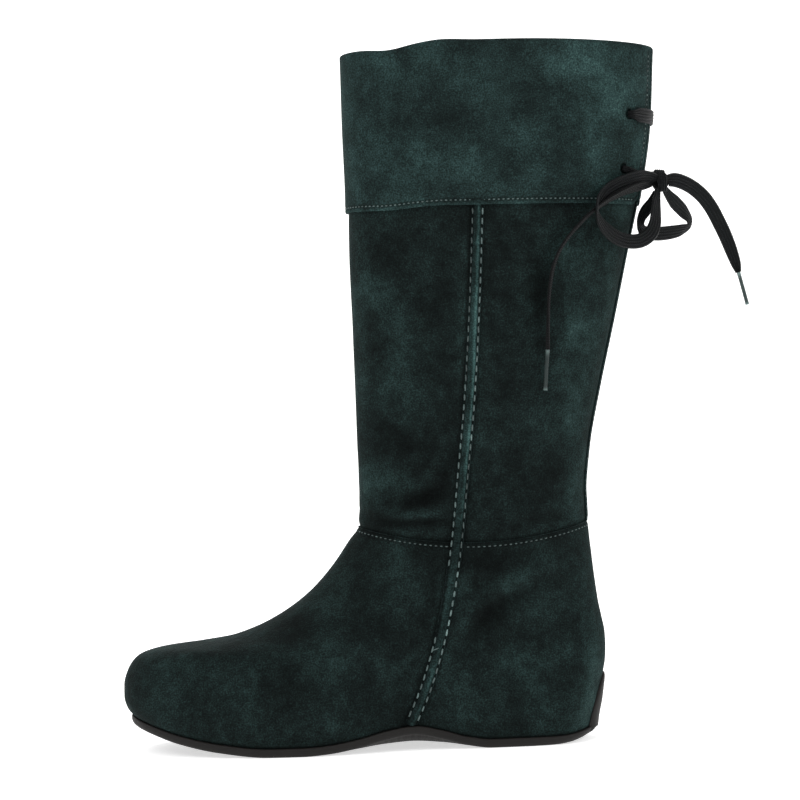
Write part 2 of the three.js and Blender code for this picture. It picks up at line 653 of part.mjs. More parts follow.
// Upper: one wall, turned in under the foot at the bottom and open at the top
function upperGeometry() {
  const angles = turns(ROUND);
  const ring = (level, distance, height) =>
    angles.map((angle) => {
      const point = upperOffset(angle, level, distance);
      if (level === 0) point.z = soleTop(point.x) + height;
      if (level === TOP_LEVEL) point.z = rimHeight(angle);
      return point;
    });
  const margin = (height) => angles.map((angle) => printPoint(angle, -LASTING_MARGIN, height));
  const outer = OUTER_LEVELS.map((level) => ring(level, level === 0 ? 0 : lap(level), GAP));
  const inner = levels.map((level) => ring(level, -WALL, GAP + WALL));
  outer.unshift(margin(GAP));
  inner.unshift(margin(GAP + WALL));
  return gridGeometry([...outer, ...inner.reverse()], 'loop');
}

// Shaft's outside at an angle and a height, moved level outwards by a distance
function shaftPoint(angle, z, distance) {
  const level = levelAtHeight(angle, z);
  const point = upperPoint(angle, level);
  const out = upperNormal(angle, level).setZ(0).normalize();
  point.addScaledVector(out, distance);
  point.z = z;
  return point;
}

const rimHeight = (angle) => upperPoint(angle, TOP_LEVEL).z;
const cuffBottom = (angle) => SHAFT_TOP - CUFF_HEIGHT + (rimHeight(angle) - SHAFT_TOP) * CUFF_CROWN;

// Angle reached from another one by going a distance round the rim
function angleAlongRim(start, distance) {
  const stepLength = 0.25;
  let angle = start;
  let left = Math.abs(distance);
  while (left > 1e-6) {
    const speed = upperPoint(angle + TANGENT_STEP, TOP_LEVEL)
      .distanceTo(upperPoint(angle - TANGENT_STEP, TOP_LEVEL)) / (2 * TANGENT_STEP);
    const stretch = Math.min(stepLength, left);
    angle += (Math.sign(distance) * stretch) / speed;
    left -= stretch;
  }
  return angle;
}

const slitAngle = angleAlongRim(0, SLIT_SIDE);
const nearFlapAngle = angleAlongRim(slitAngle, SLIT_GAP / 2);
const farFlapAngle = angleAlongRim(slitAngle, -SLIT_GAP / 2);
const nearHoleAngle = angleAlongRim(nearFlapAngle, HOLE_BACK);
const farHoleAngle = angleAlongRim(farFlapAngle, -HOLE_BACK);

// Cuff: outer layer, turned over the rim, with a lip inside the shaft
function cuffGeometry() {
  const endAngle = farFlapAngle + 2 * Math.PI;
  const nearCornerAngle = angleAlongRim(nearFlapAngle, FLAP_CORNER);
  const farCornerAngle = angleAlongRim(endAngle, -FLAP_CORNER);
  const angles = [
    ...CORNER_COLUMNS.map((share) => lerp(nearFlapAngle, nearCornerAngle, share)),
    ...turns(ROUND).filter((angle) => angle > nearCornerAngle && angle < farCornerAngle),
    ...CORNER_COLUMNS.map((share) => lerp(endAngle, farCornerAngle, share)).reverse(),
  ];
  const row = (angle) => {
    const fromEdge = FLAP_CORNER * Math.min(
      (angle - nearFlapAngle) / (nearCornerAngle - nearFlapAngle),
      (endAngle - angle) / (endAngle - farCornerAngle),
    );
    const inside = clamp(FLAP_CORNER - fromEdge, 0, FLAP_CORNER);
    const lift = FLAP_CORNER - Math.sqrt(FLAP_CORNER ** 2 - inside ** 2);
    const rim = rimHeight(angle);
    const bottom = cuffBottom(angle) + lift;
    const shoulder = CUFF_THICKNESS / 2; // the turned edge is rounded over this height
    const heights = steps(4).map((share) => lerp(bottom, rim - shoulder, share));
    const outFace = GAP + CUFF_THICKNESS;
    const inFace = -WALL - GAP;
    const overRim = (distance, height) => shaftPoint(angle, rim, distance).setZ(rim + GAP + height);
    const top = ROLL_TOP.map((share) => -WALL * share);
    const outer = [
      ...heights.map((z) => shaftPoint(angle, z, outFace)),
      overRim(GAP + CUFF_THICKNESS * ROLL_OUT, CUFF_THICKNESS * ROLL_UP),
      ...top.map((distance) => overRim(distance, CUFF_THICKNESS)),
      overRim(inFace - CUFF_THICKNESS * ROLL_OUT, CUFF_THICKNESS * ROLL_UP),
      shaftPoint(angle, rim - shoulder, inFace - CUFF_THICKNESS),
      shaftPoint(angle, rim - CUFF_LIP, inFace - CUFF_THICKNESS),
    ];
    const inner = [
      ...heights.map((z) => shaftPoint(angle, z, GAP)),
      overRim(GAP, 0),
      ...top.map((distance) => overRim(distance, 0)),
      overRim(inFace, 0),
      shaftPoint(angle, rim - shoulder, inFace),
      shaftPoint(angle, rim - CUFF_LIP, inFace),
    ];
    return [...outer, ...inner.reverse()];
  };
  const band = gridGeometry(angles.map(row), 'caps');
  const cut = toSolid(band);
  return toGeometry(HOLES.reduce((solid, hole) => solid.subtract(toSolid(holeCutter(hole))), cut));
}

const HOLES = [
  { angle: nearHoleAngle, drop: UPPER_HOLES },
  { angle: farHoleAngle, drop: UPPER_HOLES },
  { angle: nearHoleAngle, drop: LOWER_HOLES },
  { angle: farHoleAngle, drop: LOWER_HOLES },
];

// Frame on the cuff's outside at an angle and a drop below the rim, moved outwards by a distance
function cuffFrame(angle, drop, distance) {
  const z = rimHeight(angle) - drop;
  const level = levelAtHeight(angle, z);
  const out = upperNormal(angle, level);
  const center = shaftPoint(angle, z, GAP + CUFF_THICKNESS).addScaledVector(out, distance);
  const round = new THREE.Vector3(0, 0, 1).cross(out).normalize();
  const up = out.clone().cross(round);
  return { center, out, round, up };
}

// Plug of a punched hole, through the outer layer alone
function holeCutter({ angle, drop }) {
  const { center, out, round, up } = cuffFrame(angle, drop, 0);
  const outline = turns(12);
  const face = (distance) =>
    outline.map((turn) =>
      center.clone()
        .addScaledVector(out, distance)
        .addScaledVector(round, (HOLE_WIDTH / 2) * Math.cos(turn))
        .addScaledVector(up, (HOLE_HEIGHT / 2) * Math.sin(turn)));
  return gridGeometry([face(-CUFF_THICKNESS - GAP / 2), face(CUFF_THICKNESS)], 'caps');
}

// Side strip: a raised piping from the arch up to the cuff; side is 1 for the outer side
function sideStripGeometry(side) {
  const runAt = tableCurve(SIDE_STRIP, 'up', 'run');
  const foot = (x) => soleTop(x) + STRIP_FOOT_CLEARANCE;
  const lineX = (up) => HEEL_SETBACK - FOOT_LENGTH * runAt(up);
  const lineZ = (up) => lerp(foot(lineX(0)), SHAFT_TOP - CUFF_HEIGHT - GAP, up);
  const place = (u, up) => {
    const low = Math.max(0, up - TANGENT_STEP);
    const high = Math.min(1, up + TANGENT_STEP);
    const tangent = new THREE.Vector2(lineX(high) - lineX(low), lineZ(high) - lineZ(low)).normalize();
    const x = lineX(up) + (u * STRIP_WIDTH * tangent.y) / 2;
    const z = Math.max(lineZ(up) - (u * STRIP_WIDTH * tangent.x) / 2, foot(x));
    return placeOnSide(x, z, side);
  };
  return patchGeometry({
    place,
    across: STRIP_LINES,
    along: STRIP_ROWS,
    near: (up) => GAP + HOLLOW_CLEARANCE * clamp(1 - up / HOLLOW_REACH, 0, 1),
    far: (u) => STRIP_RISE * lerp(1, SIDE_STRIP_EDGE, u * u),
  });
}

// Back strip: from the edge of the foot part up to the cuff
function backStripGeometry() {
  const cuffLevel = levelAtHeight(0, SHAFT_TOP - CUFF_HEIGHT - GAP);
  const between = OUTER_LEVELS.filter((level) => level > SEAM_LEVEL + LEDGE && level < cuffLevel);
  const place = (u, level) => {
    const aside = BACK_STRIP_SIDE + (u * BACK_STRIP_WIDTH) / 2;
    return { angle: Math.asin(aside / (sectionCurves.side(level) * sectionCurves.heel(level))), level };
  };
  return patchGeometry({
    place,
    across: STRIP_LINES,
    along: [SEAM_LEVEL + LEDGE, ...between, cuffLevel],
    near: () => GAP + SEAM_STEP * LEDGE,
    far: (u) => BACK_STRIP_RISE * lerp(1, BACK_STRIP_EDGE, u * u),
  });
}

// Bevel of the braid's edges as a share of half its thickness, depth to which it goes into a hole as a
// share of the cuff's thickness, and how far it spreads again on its way from a lower hole
const BRAID_BEVEL = 0.6;
const PLUNGE_DEPTH = 0.35;
const LEAD_SPREAD = 0.4;
const LEAD_SHARES = [0.1, 0.3, 0.55, 0.78, 1];
// The far lead leaves the cuff this far past the middle of the back
const FAR_LEAD_EDGE = 2;

// Flat braid laid through stations, each a centre, a way across, a way out and a width
function braidGeometry(stations) {
  const row = ({ center, across, out, width }) => {
    const w = width / 2;
    const t = LACE_THICKNESS / 2;
    const bevel = t * BRAID_BEVEL;
    const corners = [
      [-w, t - bevel], [-w + bevel, t], [w - bevel, t], [w, t - bevel],
      [w, -t + bevel], [w - bevel, -t], [-w + bevel, -t], [-w, -t + bevel],
    ];
    return corners.map(([a, b]) => center.clone().addScaledVector(across, a).addScaledVector(out, b));
  };
  return gridGeometry(stations.map(row), 'caps');
}

// Station of the braid drawn into a hole; turned is the side of the hole that it comes from
function plungeStation(angle, drop, turned) {
  const { center, round, up } = cuffFrame(angle, drop, -CUFF_THICKNESS * PLUNGE_DEPTH);
  return { center, across: up, out: round.multiplyScalar(turned), width: LACE_GATHER };
}

// Station of the braid lying on the cuff
function layStation(angle, drop, width) {
  const { center, out, up } = cuffFrame(angle, drop, GAP + LACE_THICKNESS / 2);
  return { center, across: up, out, width };
}

// Lace across the back of the cuff, drawn into the upper pair of holes
function laceBarGeometry() {
  const hop = 6; // length over which the braid gathers into a hole
  const start = angleAlongRim(nearHoleAngle, -hop);
  const end = angleAlongRim(farHoleAngle, hop);
  const gather = (hole, full, share) =>
    layStation(lerp(hole, full, share), UPPER_HOLES, lerp(LACE_GATHER, LACE_WIDTH, share));
  return braidGeometry([
    plungeStation(nearHoleAngle, UPPER_HOLES, -1),
    gather(nearHoleAngle, start, 0.3),
    gather(nearHoleAngle, start, 0.65),
    ...steps(10).map((share) => layStation(lerp(start, end, share), UPPER_HOLES, LACE_WIDTH)),
    gather(farHoleAngle, end, 0.65),
    gather(farHoleAngle, end, 0.3),
    plungeStation(farHoleAngle, UPPER_HOLES, 1),
  ]);
}

// Lace out of a lower hole, over the flap and off it to the knot
function laceLeadGeometry(hole, edge, endPoint) {
  const broad = lerp(LACE_GATHER, LACE_WIDTH, LEAD_SPREAD);
  const laid = LEAD_SHARES.map((share) =>
    layStation(lerp(hole, edge, share), LOWER_HOLES + LEAD_DROP * share, lerp(LACE_GATHER, broad, share)));
  const last = laid[laid.length - 1];
  const center = new THREE.Vector3(...endPoint);
  const along = center.clone().sub(last.center).normalize();
  const out = last.out.clone().addScaledVector(along, -last.out.dot(along)).normalize();
  const tip = { center, across: last.across, out, width: LACE_GATHER };
  return braidGeometry([plungeStation(hole, LOWER_HOLES, Math.sign(edge - hole)), ...laid, tip]);
}

// Knot: a rounded lump behind the flaps
const KNOT_SEGMENTS = 12;
const KNOT_RINGS = 8;

function knotGeometry() {
  const ball = new THREE.SphereGeometry(0.5, KNOT_SEGMENTS, KNOT_RINGS);
  ball.scale(KNOT_WIDTH, KNOT_WIDTH, KNOT_LENGTH);
  ball.translate(...KNOT_PLACE);
  return toGeometry(toSolid(ball));
}

// Round cord of a width through points chosen by hand, with this many sides and a ring at each step
const CORD_SIDES = 8;
const CORD_STEP = 2.2 * CORD_WIDTH;

function cordGeometry(points, width) {
  const places = points.map((point) => new THREE.Vector3(...point));
  const curve = new THREE.CatmullRomCurve3(places, false, 'centripetal');
  const section = new THREE.Shape(turns(CORD_SIDES).map((turn) =>
    new THREE.Vector2((width / 2) * Math.cos(turn), (width / 2) * Math.sin(turn))));
  const count = Math.max(2, Math.round(curve.getLength() / CORD_STEP));
  return new THREE.ExtrudeGeometry(section, { steps: count, bevelEnabled: false, extrudePath: curve });
}

function material(name, color, roughness) {
  return new THREE.MeshStandardMaterial({ name, color, roughness, metalness: 0 });
}

const suede = () => material('suede', 0x223232, 0.95);
const rubber = () => material('rubber', 0x1f2120, 0.7);
const lining = () => material('lining', 0x2a2c2c, 0.9);
const braid = () => material('braid', 0x1a1c1d, 0.75);
const clearPlastic = () => material('clear_plastic', 0x3a4040, 0.3);

const boot = new THREE.Group();
boot.name = 'suede_boot_left';

function addPiece(name, geometry, finish) {
  geometry.computeVertexNormals();
  const mesh = new THREE.Mesh(geometry, finish);
  mesh.name = name;
  boot.add(mesh);
}

addPiece('outsole', outsoleGeometry(), rubber());
addPiece('insole', insoleGeometry(), lining());
addPiece('upper', upperGeometry(), suede());
addPiece('cuff', cuffGeometry(), suede());
addPiece('side_strip_outer', sideStripGeometry(1), suede());
addPiece('side_strip_inner', sideStripGeometry(-1), suede());
addPiece('back_strip', backStripGeometry(), suede());
addPiece('lace_bar', laceBarGeometry(), braid());
addPiece('lace_lead_near', laceLeadGeometry(nearHoleAngle, nearFlapAngle, NEAR_LEAD_END), braid());
const farLeadEdge = angleAlongRim(0, -FAR_LEAD_EDGE);
addPiece('lace_lead_far', laceLeadGeometry(farHoleAngle, farLeadEdge, FAR_LEAD_END), braid());
addPiece('lace_knot', knotGeometry(), braid());
addPiece('lace_loop_near', cordGeometry(NEAR_LOOP, CORD_WIDTH), braid());
addPiece('lace_loop_far', cordGeometry(FAR_LOOP, CORD_WIDTH), braid());
addPiece('lace_end_near', cordGeometry(NEAR_END, CORD_WIDTH), braid());
addPiece('lace_end_far', cordGeometry(FAR_END, CORD_WIDTH), braid());
addPiece('aglet_near', cordGeometry(NEAR_AGLET, AGLET_WIDTH), clearPlastic());
addPiece('aglet_far', cordGeometry(FAR_AGLET, AGLET_WIDTH), clearPlastic());

export default boot;
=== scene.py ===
# Looks of the left suede boot: napped suede, stitching, a cupped rubber sole and a braided lace.
# Laid out as a Blender add-on and run as a script. The shape is worked out in millimetres.
import math

import bpy
import numpy as np
from mathutils import Matrix, Vector


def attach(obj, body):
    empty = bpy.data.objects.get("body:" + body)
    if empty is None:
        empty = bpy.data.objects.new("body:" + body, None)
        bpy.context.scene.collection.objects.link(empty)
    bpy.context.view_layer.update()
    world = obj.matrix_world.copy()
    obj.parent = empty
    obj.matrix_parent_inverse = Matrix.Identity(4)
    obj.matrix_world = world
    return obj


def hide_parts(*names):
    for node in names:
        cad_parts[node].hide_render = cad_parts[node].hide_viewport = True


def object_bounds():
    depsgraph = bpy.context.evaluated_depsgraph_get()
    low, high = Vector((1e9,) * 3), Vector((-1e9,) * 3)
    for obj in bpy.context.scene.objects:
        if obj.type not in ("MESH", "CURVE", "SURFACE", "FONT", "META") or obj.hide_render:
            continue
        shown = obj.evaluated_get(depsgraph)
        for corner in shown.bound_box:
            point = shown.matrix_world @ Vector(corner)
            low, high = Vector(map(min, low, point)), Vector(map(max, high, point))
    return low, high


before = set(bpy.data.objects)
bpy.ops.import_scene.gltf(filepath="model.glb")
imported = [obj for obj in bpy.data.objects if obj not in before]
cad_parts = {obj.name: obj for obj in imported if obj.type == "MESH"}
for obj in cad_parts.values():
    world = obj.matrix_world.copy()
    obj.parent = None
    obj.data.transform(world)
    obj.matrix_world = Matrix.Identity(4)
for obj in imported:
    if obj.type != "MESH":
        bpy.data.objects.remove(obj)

bl_info = {
    "name": "Suede boot, left",
    "version": (1, 0, 0),
    "blender": (4, 5, 0),
    "location": "View3D > Sidebar > Boot",
    "description": "Builds the looks of a laced suede boot over its measured frame",
    "category": "Object",
}

MM = 0.001
CAD_BOX = [list(corner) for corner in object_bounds()]

# Sizes of the boot, as in its source
FOOT_LENGTH = 254.0
HEEL_SETBACK = 45.0
BALL_WIDTH = 88.0
TOE_SWING = 3.0
ANKLE_HEIGHT = 114.2
ANKLE_DEPTH = 119.7
ANKLE_WIDTH = 62.0
ANKLE_DIP = 8.0
HEEL_CURVE = 8.3
SHAFT_TOP = 359.7
RIM_CROWN = 2.8
TOP_WIDTH = 73.0
FRONT_LEAN = 1.4
BACK_FLARE = 39.6
RIM_BLUNTNESS = 1.08
WALL = 2.0
GAP = 0.3
SEAM_STEP = 0.7
LASTING_MARGIN = 9.0
INSOLE_THICKNESS = 3.0
INSOLE_CLEARANCE = 0.5
SOLE_THICKNESS = 4.6
SOLE_LEDGE = 1.6
EDGE_ROUND = 2.6
HEEL_ROUND = 8.0
HEEL_RISE = 6.0
TOE_SPRING = 16.0
ARCH_RISE = 8.5
TAB_HEIGHT = 24.0
TAB_WIDTH = 25.0
TAB_THICKNESS = 1.8
CUFF_HEIGHT = 81.0
CUFF_THICKNESS = 1.6
CUFF_LIP = 7.0
SLIT_SIDE = 8.0
SLIT_GAP = 1.6
FLAP_CORNER = 7.0
CUFF_CROWN = 0.4
HOLE_HEIGHT = 5.2
HOLE_WIDTH = 4.4
HOLE_BACK = 16.6
UPPER_HOLES = 35.3
LOWER_HOLES = 63.2
STRIP_WIDTH = 6.6
STRIP_RISE = 1.4
STRIP_FOOT_CLEARANCE = 1.2
HOLLOW_CLEARANCE = 0.5
HOLLOW_REACH = 0.1
BACK_STRIP_WIDTH = 7.0
BACK_STRIP_RISE = 1.0
BACK_STRIP_SIDE = 1.2
LACE_GATHER = 3.2
LEAD_DROP = 2.0
AGLET_WIDTH = 2.1

# Rise of the sole's underside: along, heel, arch, toe
SOLE_LINE = [
    (0.0, 1, 0, 0), (0.028, 0.58, 0, 0), (0.055, 0.27, 0, 0), (0.085, 0.07, 0, 0), (0.12, 0, 0, 0),
    (0.245, 0, 0, 0), (0.295, 0, 0.2, 0), (0.35, 0, 0.68, 0), (0.405, 0, 1, 0), (0.46, 0, 0.78, 0),
    (0.52, 0, 0.36, 0), (0.58, 0, 0.09, 0), (0.63, 0, 0, 0), (0.7, 0, 0, 0), (0.8, 0, 0, 0.15),
    (0.88, 0, 0, 0.4), (0.94, 0, 0, 0.69), (1.0, 0, 0, 1),
]
# Footprint: along, outer side, inner side
FOOTPRINT = [
    (0.0, 1.28, 1.28), (0.05, 1.21, 1.21), (0.12, 0.995, 0.995), (0.2, 0.853, 0.84), (0.3, 0.783, 0.7),
    (0.4, 0.805, 0.625), (0.5, 0.894, 0.68), (0.6, 1.005, 0.83), (0.66, 1.055, 0.955), (0.72, 1.09, 1.08),
    (0.8, 1.12, 1.2), (0.88, 1.16, 1.3), (0.95, 1.22, 1.4), (1.0, 1.27, 1.45),
]
# Foot: front run, front rise, back run, back rise, side, print, toe, heel, follow, dip
FOOT = [
    (0.044, 0.0, 1.0, 0.0, 0.966, 1.0, 1.3, 1.2, 1.0, 0.0),
    (0.016, 0.042, 0.82, 0.056, 1.0, 1.0, 1.3, 1.2, 0.9, 0.0),
    (0.002, 0.106, 0.58, 0.122, 1.018, 1.0, 1.3, 1.2, 0.72, 0.0),
    (0.003, 0.172, 0.4, 0.188, 1.012, 0.98, 1.3, 1.2, 0.52, 0.0),
    (0.021, 0.254, 0.21, 0.254, 0.985, 0.93, 1.32, 1.18, 0.34, 0.0),
    (0.067, 0.33, 0.05, 0.319, 0.945, 0.85, 1.34, 1.16, 0.2, 0.0),
    (0.15, 0.366, 0.0, 0.385, 0.905, 0.73, 1.34, 1.14, 0.1, 0.0),
    (0.29, 0.387, 0.03, 0.451, 0.865, 0.58, 1.3, 1.12, 0.04, 0.0),
    (0.428, 0.413, 0.2, 0.526, 0.83, 0.43, 1.25, 1.1, 0.0, 0.0),
    (0.555, 0.466, 0.385, 0.601, 0.8, 0.3, 1.2, 1.08, 0.0, 0.05),
    (0.68, 0.55, 0.52, 0.681, 0.775, 0.19, 1.15, 1.06, 0.0, 0.15),
    (0.792, 0.66, 0.64, 0.761, 0.752, 0.1, 1.1, 1.04, 0.0, 0.35),
    (0.888, 0.795, 0.77, 0.845, 0.73, 0.04, 1.06, 1.02, 0.0, 0.65),
    (0.956, 0.918, 0.9, 0.925, 0.712, 0.01, 1.03, 1.0, 0.0, 0.9),
    (1.0, 1.0, 1.0, 1.0, 0.7045, 0.0, 1.0, 1.0, 0.0, 1.0),
]
# Shaft: rise, front, back, width, dip, crown
SHAFT = [
    (0.035, -0.5, -0.032, 0.0, 0.9, 0.0), (0.075, -0.6, -0.02, 0.02, 0.75, 0.0),
    (0.17, -0.2, 0.05, 0.1, 0.5, 0.0), (0.29, 0.0, 0.205, 0.26, 0.3, 0.0),
    (0.43, 0.35, 0.41, 0.46, 0.15, 0.1), (0.58, 0.8, 0.62, 0.68, 0.05, 0.25),
    (0.7, 0.55, 0.79, 0.84, 0.0, 0.45), (0.84, 0.8, 0.93, 0.95, 0.0, 0.75), (1.0, 1.0, 1.0, 1.0, 0.0, 1.0),
]
# Side strip: share of the way up, share of the foot's length from the heel
SIDE_STRIP = [
    (0.0, 0.413), (0.066, 0.381), (0.163, 0.348), (0.24, 0.329), (0.35, 0.308), (0.477, 0.2925),
    (0.63, 0.2745), (0.82, 0.259), (1.0, 0.248),
]

# Routes of the lace, as in the source
KNOT_PLACE = (79.5, -6.5, 291)
NEAR_LEAD_END = (75.4, -7.2, 294.6)
FAR_LEAD_END = (79.0, -2.0, 295.0)
NEAR_LOOP = [
    (76.9, -9.9, 292.4), (73.2, -14.2, 293.0), (67.4, -20.6, 292.5), (58.9, -26.5, 290.0),
    (51.1, -31.5, 286.5), (45.4, -35.0, 281.6), (43.1, -36.5, 276.0), (44.6, -35.5, 269.8),
    (48.9, -32.0, 264.7), (55.5, -27.0, 260.6), (62.7, -22.5, 259.3), (68.4, -19.0, 260.4),
    (72.9, -16.0, 263.8), (75.3, -14.0, 268.5), (76.0, -13.3, 273.8), (76.4, -12.7, 278.5),
    (77.0, -11.9, 282.5), (77.7, -10.4, 286.5),
]
FAR_LOOP = [
    (82.3, -4.7, 286.5), (84.6, -2.0, 283.6), (88.2, 2.0, 280.0), (93.0, 6.5, 275.5), (96.3, 9.0, 271.3),
    (95.8, 9.0, 267.6), (91.4, 7.0, 265.6), (84.7, 4.5, 264.4), (77.4, 1.5, 264.0), (71.8, -1.0, 265.4),
    (69.2, -2.5, 268.6), (69.6, -3.5, 272.2), (72.0, -4.5, 276.3), (75.5, -4.6, 281.2), (77.8, -3.6, 285.7),
]
FAR_END = [
    (83.9, -4.8, 291.3), (87.5, -3.4, 291.6), (92.4, -1.0, 290.3), (98.1, 2.0, 287.3), (103.4, 4.0, 282.7),
    (107.6, 5.5, 277.1), (111.1, 6.0, 270.4), (114.7, 6.0, 262.4), (117.5, 5.0, 254.4),
    (119.8, 4.0, 246.9), (120.9, 4.0, 242.7),
]
FAR_AGLET = [(121.05, 4.0, 242.3), (123.2, 4.0, 233.9), (125.3, 4.0, 225.4)]
NEAR_END = [
    (74.8, -8.3, 290.1), (70.8, -14.2, 288.7), (65.2, -19.9, 287.2), (58.8, -25.1, 285.0),
    (52.1, -29.0, 282.0), (45.3, -31.7, 278.0), (38.8, -33.5, 273.2), (33.0, -34.0, 267.6),
    (27.1, -34.3, 261.0), (22.7, -34.5, 254.2), (19.9, -34.5, 247.0), (18.2, -34.3, 239.0),
    (17.1, -34.0, 230.1), (16.6, -33.5, 219.9), (16.2, -33.0, 211.7), (16.0, -32.5, 205.0),
]
NEAR_AGLET = [(16.0, -32.5, 204.6), (15.1, -31.2, 194.0), (14.4, -30.0, 183.9)]

# Faces of the flat lace, in degrees: 0 shows its face to the side of the boot, 90 its edge
NEAR_LOOP_TURN = [20, 15, 10, 10, 22, 50, 80, 55, 25, 12, 5, 0, -10, -25, -38, -45, -50, -55]
FAR_LOOP_TURN = [30, 20, 10, 25, 60, 70, 40, 20, 15, 30, 70, 60, 40, 40, 50]
FAR_END_TURN = [10, 5, 0, 0, 0, 5, 8, 5, 0, 0, 0]
NEAR_END_TURN = [40, 50, 60, 68, 74, 78, 80, 80, 80, 80, 78, 78, 80, 82, 84, 86]

# Creases of the worn suede, placed in the boot's millimetres: side (1 outer, -1 inner),
# depth (minus for a trough), half width, and the line as (x, z) seen from the side
CREASES = [
    (1, -1.9, 4.2, [(-62, 125), (-52, 129), (-44, 132), (-37, 139)]),
    (1, -1.3, 2.2, [(-72, 118), (-62, 116.5), (-50, 117), (-38, 119)]),
    (1, 0.8, 3.0, [(-74, 127), (-64, 121), (-50, 122), (-40, 125)]),
    (1, -0.8, 3.5, [(-40, 141), (-34, 150), (-32, 160)]),
    (1, -0.7, 3.0, [(-84, 126), (-79, 121), (-74, 118)]),
    (1, -0.8, 3.0, [(-6, 114), (8, 116), (22, 118), (33, 119)]),
    (1, -0.9, 5.0, [(-26, 99), (-12, 97), (2, 98)]),
    (1, 1.3, 4.5, [(14, 94), (0, 87), (-13, 81), (-26, 72), (-35, 62)]),
    (1, -1.2, 5.0, [(8, 83), (-6, 77), (-19, 68), (-28, 57), (-34, 46)]),
    (1, -0.8, 3.5, [(-54, 56), (-49, 70), (-46, 84), (-44, 98)]),
    (1, 0.7, 6.0, [(-84, 137), (-74, 135), (-66, 138)]),
    (1, -0.5, 8.0, [(-62, 262), (-66, 240), (-60, 222)]),
    (1, 0.5, 9.0, [(-70, 238), (-66, 214)]),
    (1, -0.6, 8.0, [(-38, 250), (-40, 215), (-42, 180), (-41, 160)]),
    (1, -0.5, 7.0, [(-12, 250), (-13, 215), (-14, 185)]),
    (1, 0.6, 9.0, [(10, 200), (20, 180), (26, 160)]),
    (1, 0.5, 7.0, [(-8, 120), (2, 128), (14, 134)]),
    (1, -0.5, 6.0, [(-98, 82), (-88, 74), (-80, 66)]),
    (-1, -1.7, 4.4, [(-66, 124), (-55, 127), (-44, 131), (-34, 137)]),
    (-1, -1.2, 2.2, [(-70, 117), (-58, 116.5), (-46, 118)]),
    (-1, -0.7, 3.0, [(-84, 123), (-77, 120), (-70, 119)]),
    (-1, -0.8, 3.5, [(-12, 115), (4, 118), (20, 120), (32, 121)]),
    (-1, -0.9, 5.0, [(-24, 97), (-10, 94), (6, 97)]),
    (-1, 1.1, 5.0, [(12, 90), (-4, 82), (-20, 72), (-30, 62)]),
    (-1, -1.1, 5.0, [(6, 80), (-8, 72), (-22, 60), (-32, 48)]),
    (-1, -0.6, 8.0, [(-40, 240), (-42, 205), (-40, 170)]),
    (-1, 0.6, 9.0, [(4, 214), (14, 190), (22, 166)]),
    (-1, -0.5, 7.0, [(-70, 250), (-64, 225), (-66, 200)]),
]
# Patches of lighter and darker nap, with painted shade in the ankle's crease pockets, the painted shadow of the
# lace's near end, and painted highlights down the back and the heel: side, x, z, width, height, lightness
PATCHES = [
    (1, -62, 262, 16, 12, -0.3), (1, -69, 238, 10, 8, 0.4), (1, -57, 205, 17, 34, 0.38),
    (1, -62, 158, 22, 10, -0.4), (1, -76, 140, 9, 10, 0.4), (1, -34, 205, 6, 62, -0.42),
    (1, -6, 215, 14, 34, -0.3), (1, 8, 256, 16, 14, 0.12), (1, 31, 200, 10, 50, 0.5),
    (1, 18, 262, 18, 10, -0.15), (1, -51, 129, 10, 5, -1.0), (1, -39, 137, 5, 10, -0.6),
    (1, -54, 117.5, 14, 2.2, -0.7), (1, -66, 124, 6, 3, 0.3), (1, 13, 226, 4, 26, -0.5),
    (1, 3, 150, 9, 16, 0.18), (1, -24, 84, 14, 5, 0.2),
    (1, 6, 136, 30, 22, -0.36), (1, 14, 122, 22, 6, -0.25), (1, -86, 96, 10, 9, -0.25),
    (1, -14, 99, 18, 7, -0.45), (1, -19, 70, 12, 14, -0.45), (1, -66, 46, 15, 12, 0.3),
    (1, -110, 44, 17, 13, 0.15), (1, -120, 66, 30, 8, -0.25), (1, -140, 32, 40, 12, -0.2),
    (1, -183, 32, 14, 14, 0.25), (1, 36, 48, 7, 42, 0.5), (1, 33, 19, 6, 9, 0.35),
    (1, 8, 40, 18, 16, 0.15), (1, -2, 172, 12, 12, 0.1), (1, -70, 112, 14, 4, -0.2),
    (-1, -60, 250, 18, 14, -0.2), (-1, -56, 200, 18, 32, 0.26), (-1, -34, 210, 7, 60, -0.35),
    (-1, -6, 212, 14, 34, -0.25), (-1, 30, 190, 11, 45, 0.4), (-1, -56, 126, 12, 7, -0.7),
    (-1, -80, 100, 12, 10, -0.2), (-1, 4, 134, 28, 20, -0.25), (-1, -16, 68, 10, 12, -0.4),
    (-1, -68, 48, 15, 12, 0.26), (-1, -165, 28, 24, 12, 0.2), (-1, 34, 46, 8, 40, 0.45),
    (-1, -110, 64, 30, 8, -0.22), (-1, -14, 99, 18, 7, -0.3),
]


def srgb(code):
    """Linear red, green, blue and alpha of an sRGB hex colour."""
    parts = [int(code[i:i + 2], 16) / 255 for i in (1, 3, 5)]
    linear = [c / 12.92 if c <= 0.04045 else ((c + 0.055) / 1.055) ** 2.4 for c in parts]
    return (*linear, 1.0)


def mix(a, b, share):
    return a + (b - a) * share


def smooth_step(value):
    value = np.clip(value, 0, 1)
    return value * value * (3 - 2 * value)


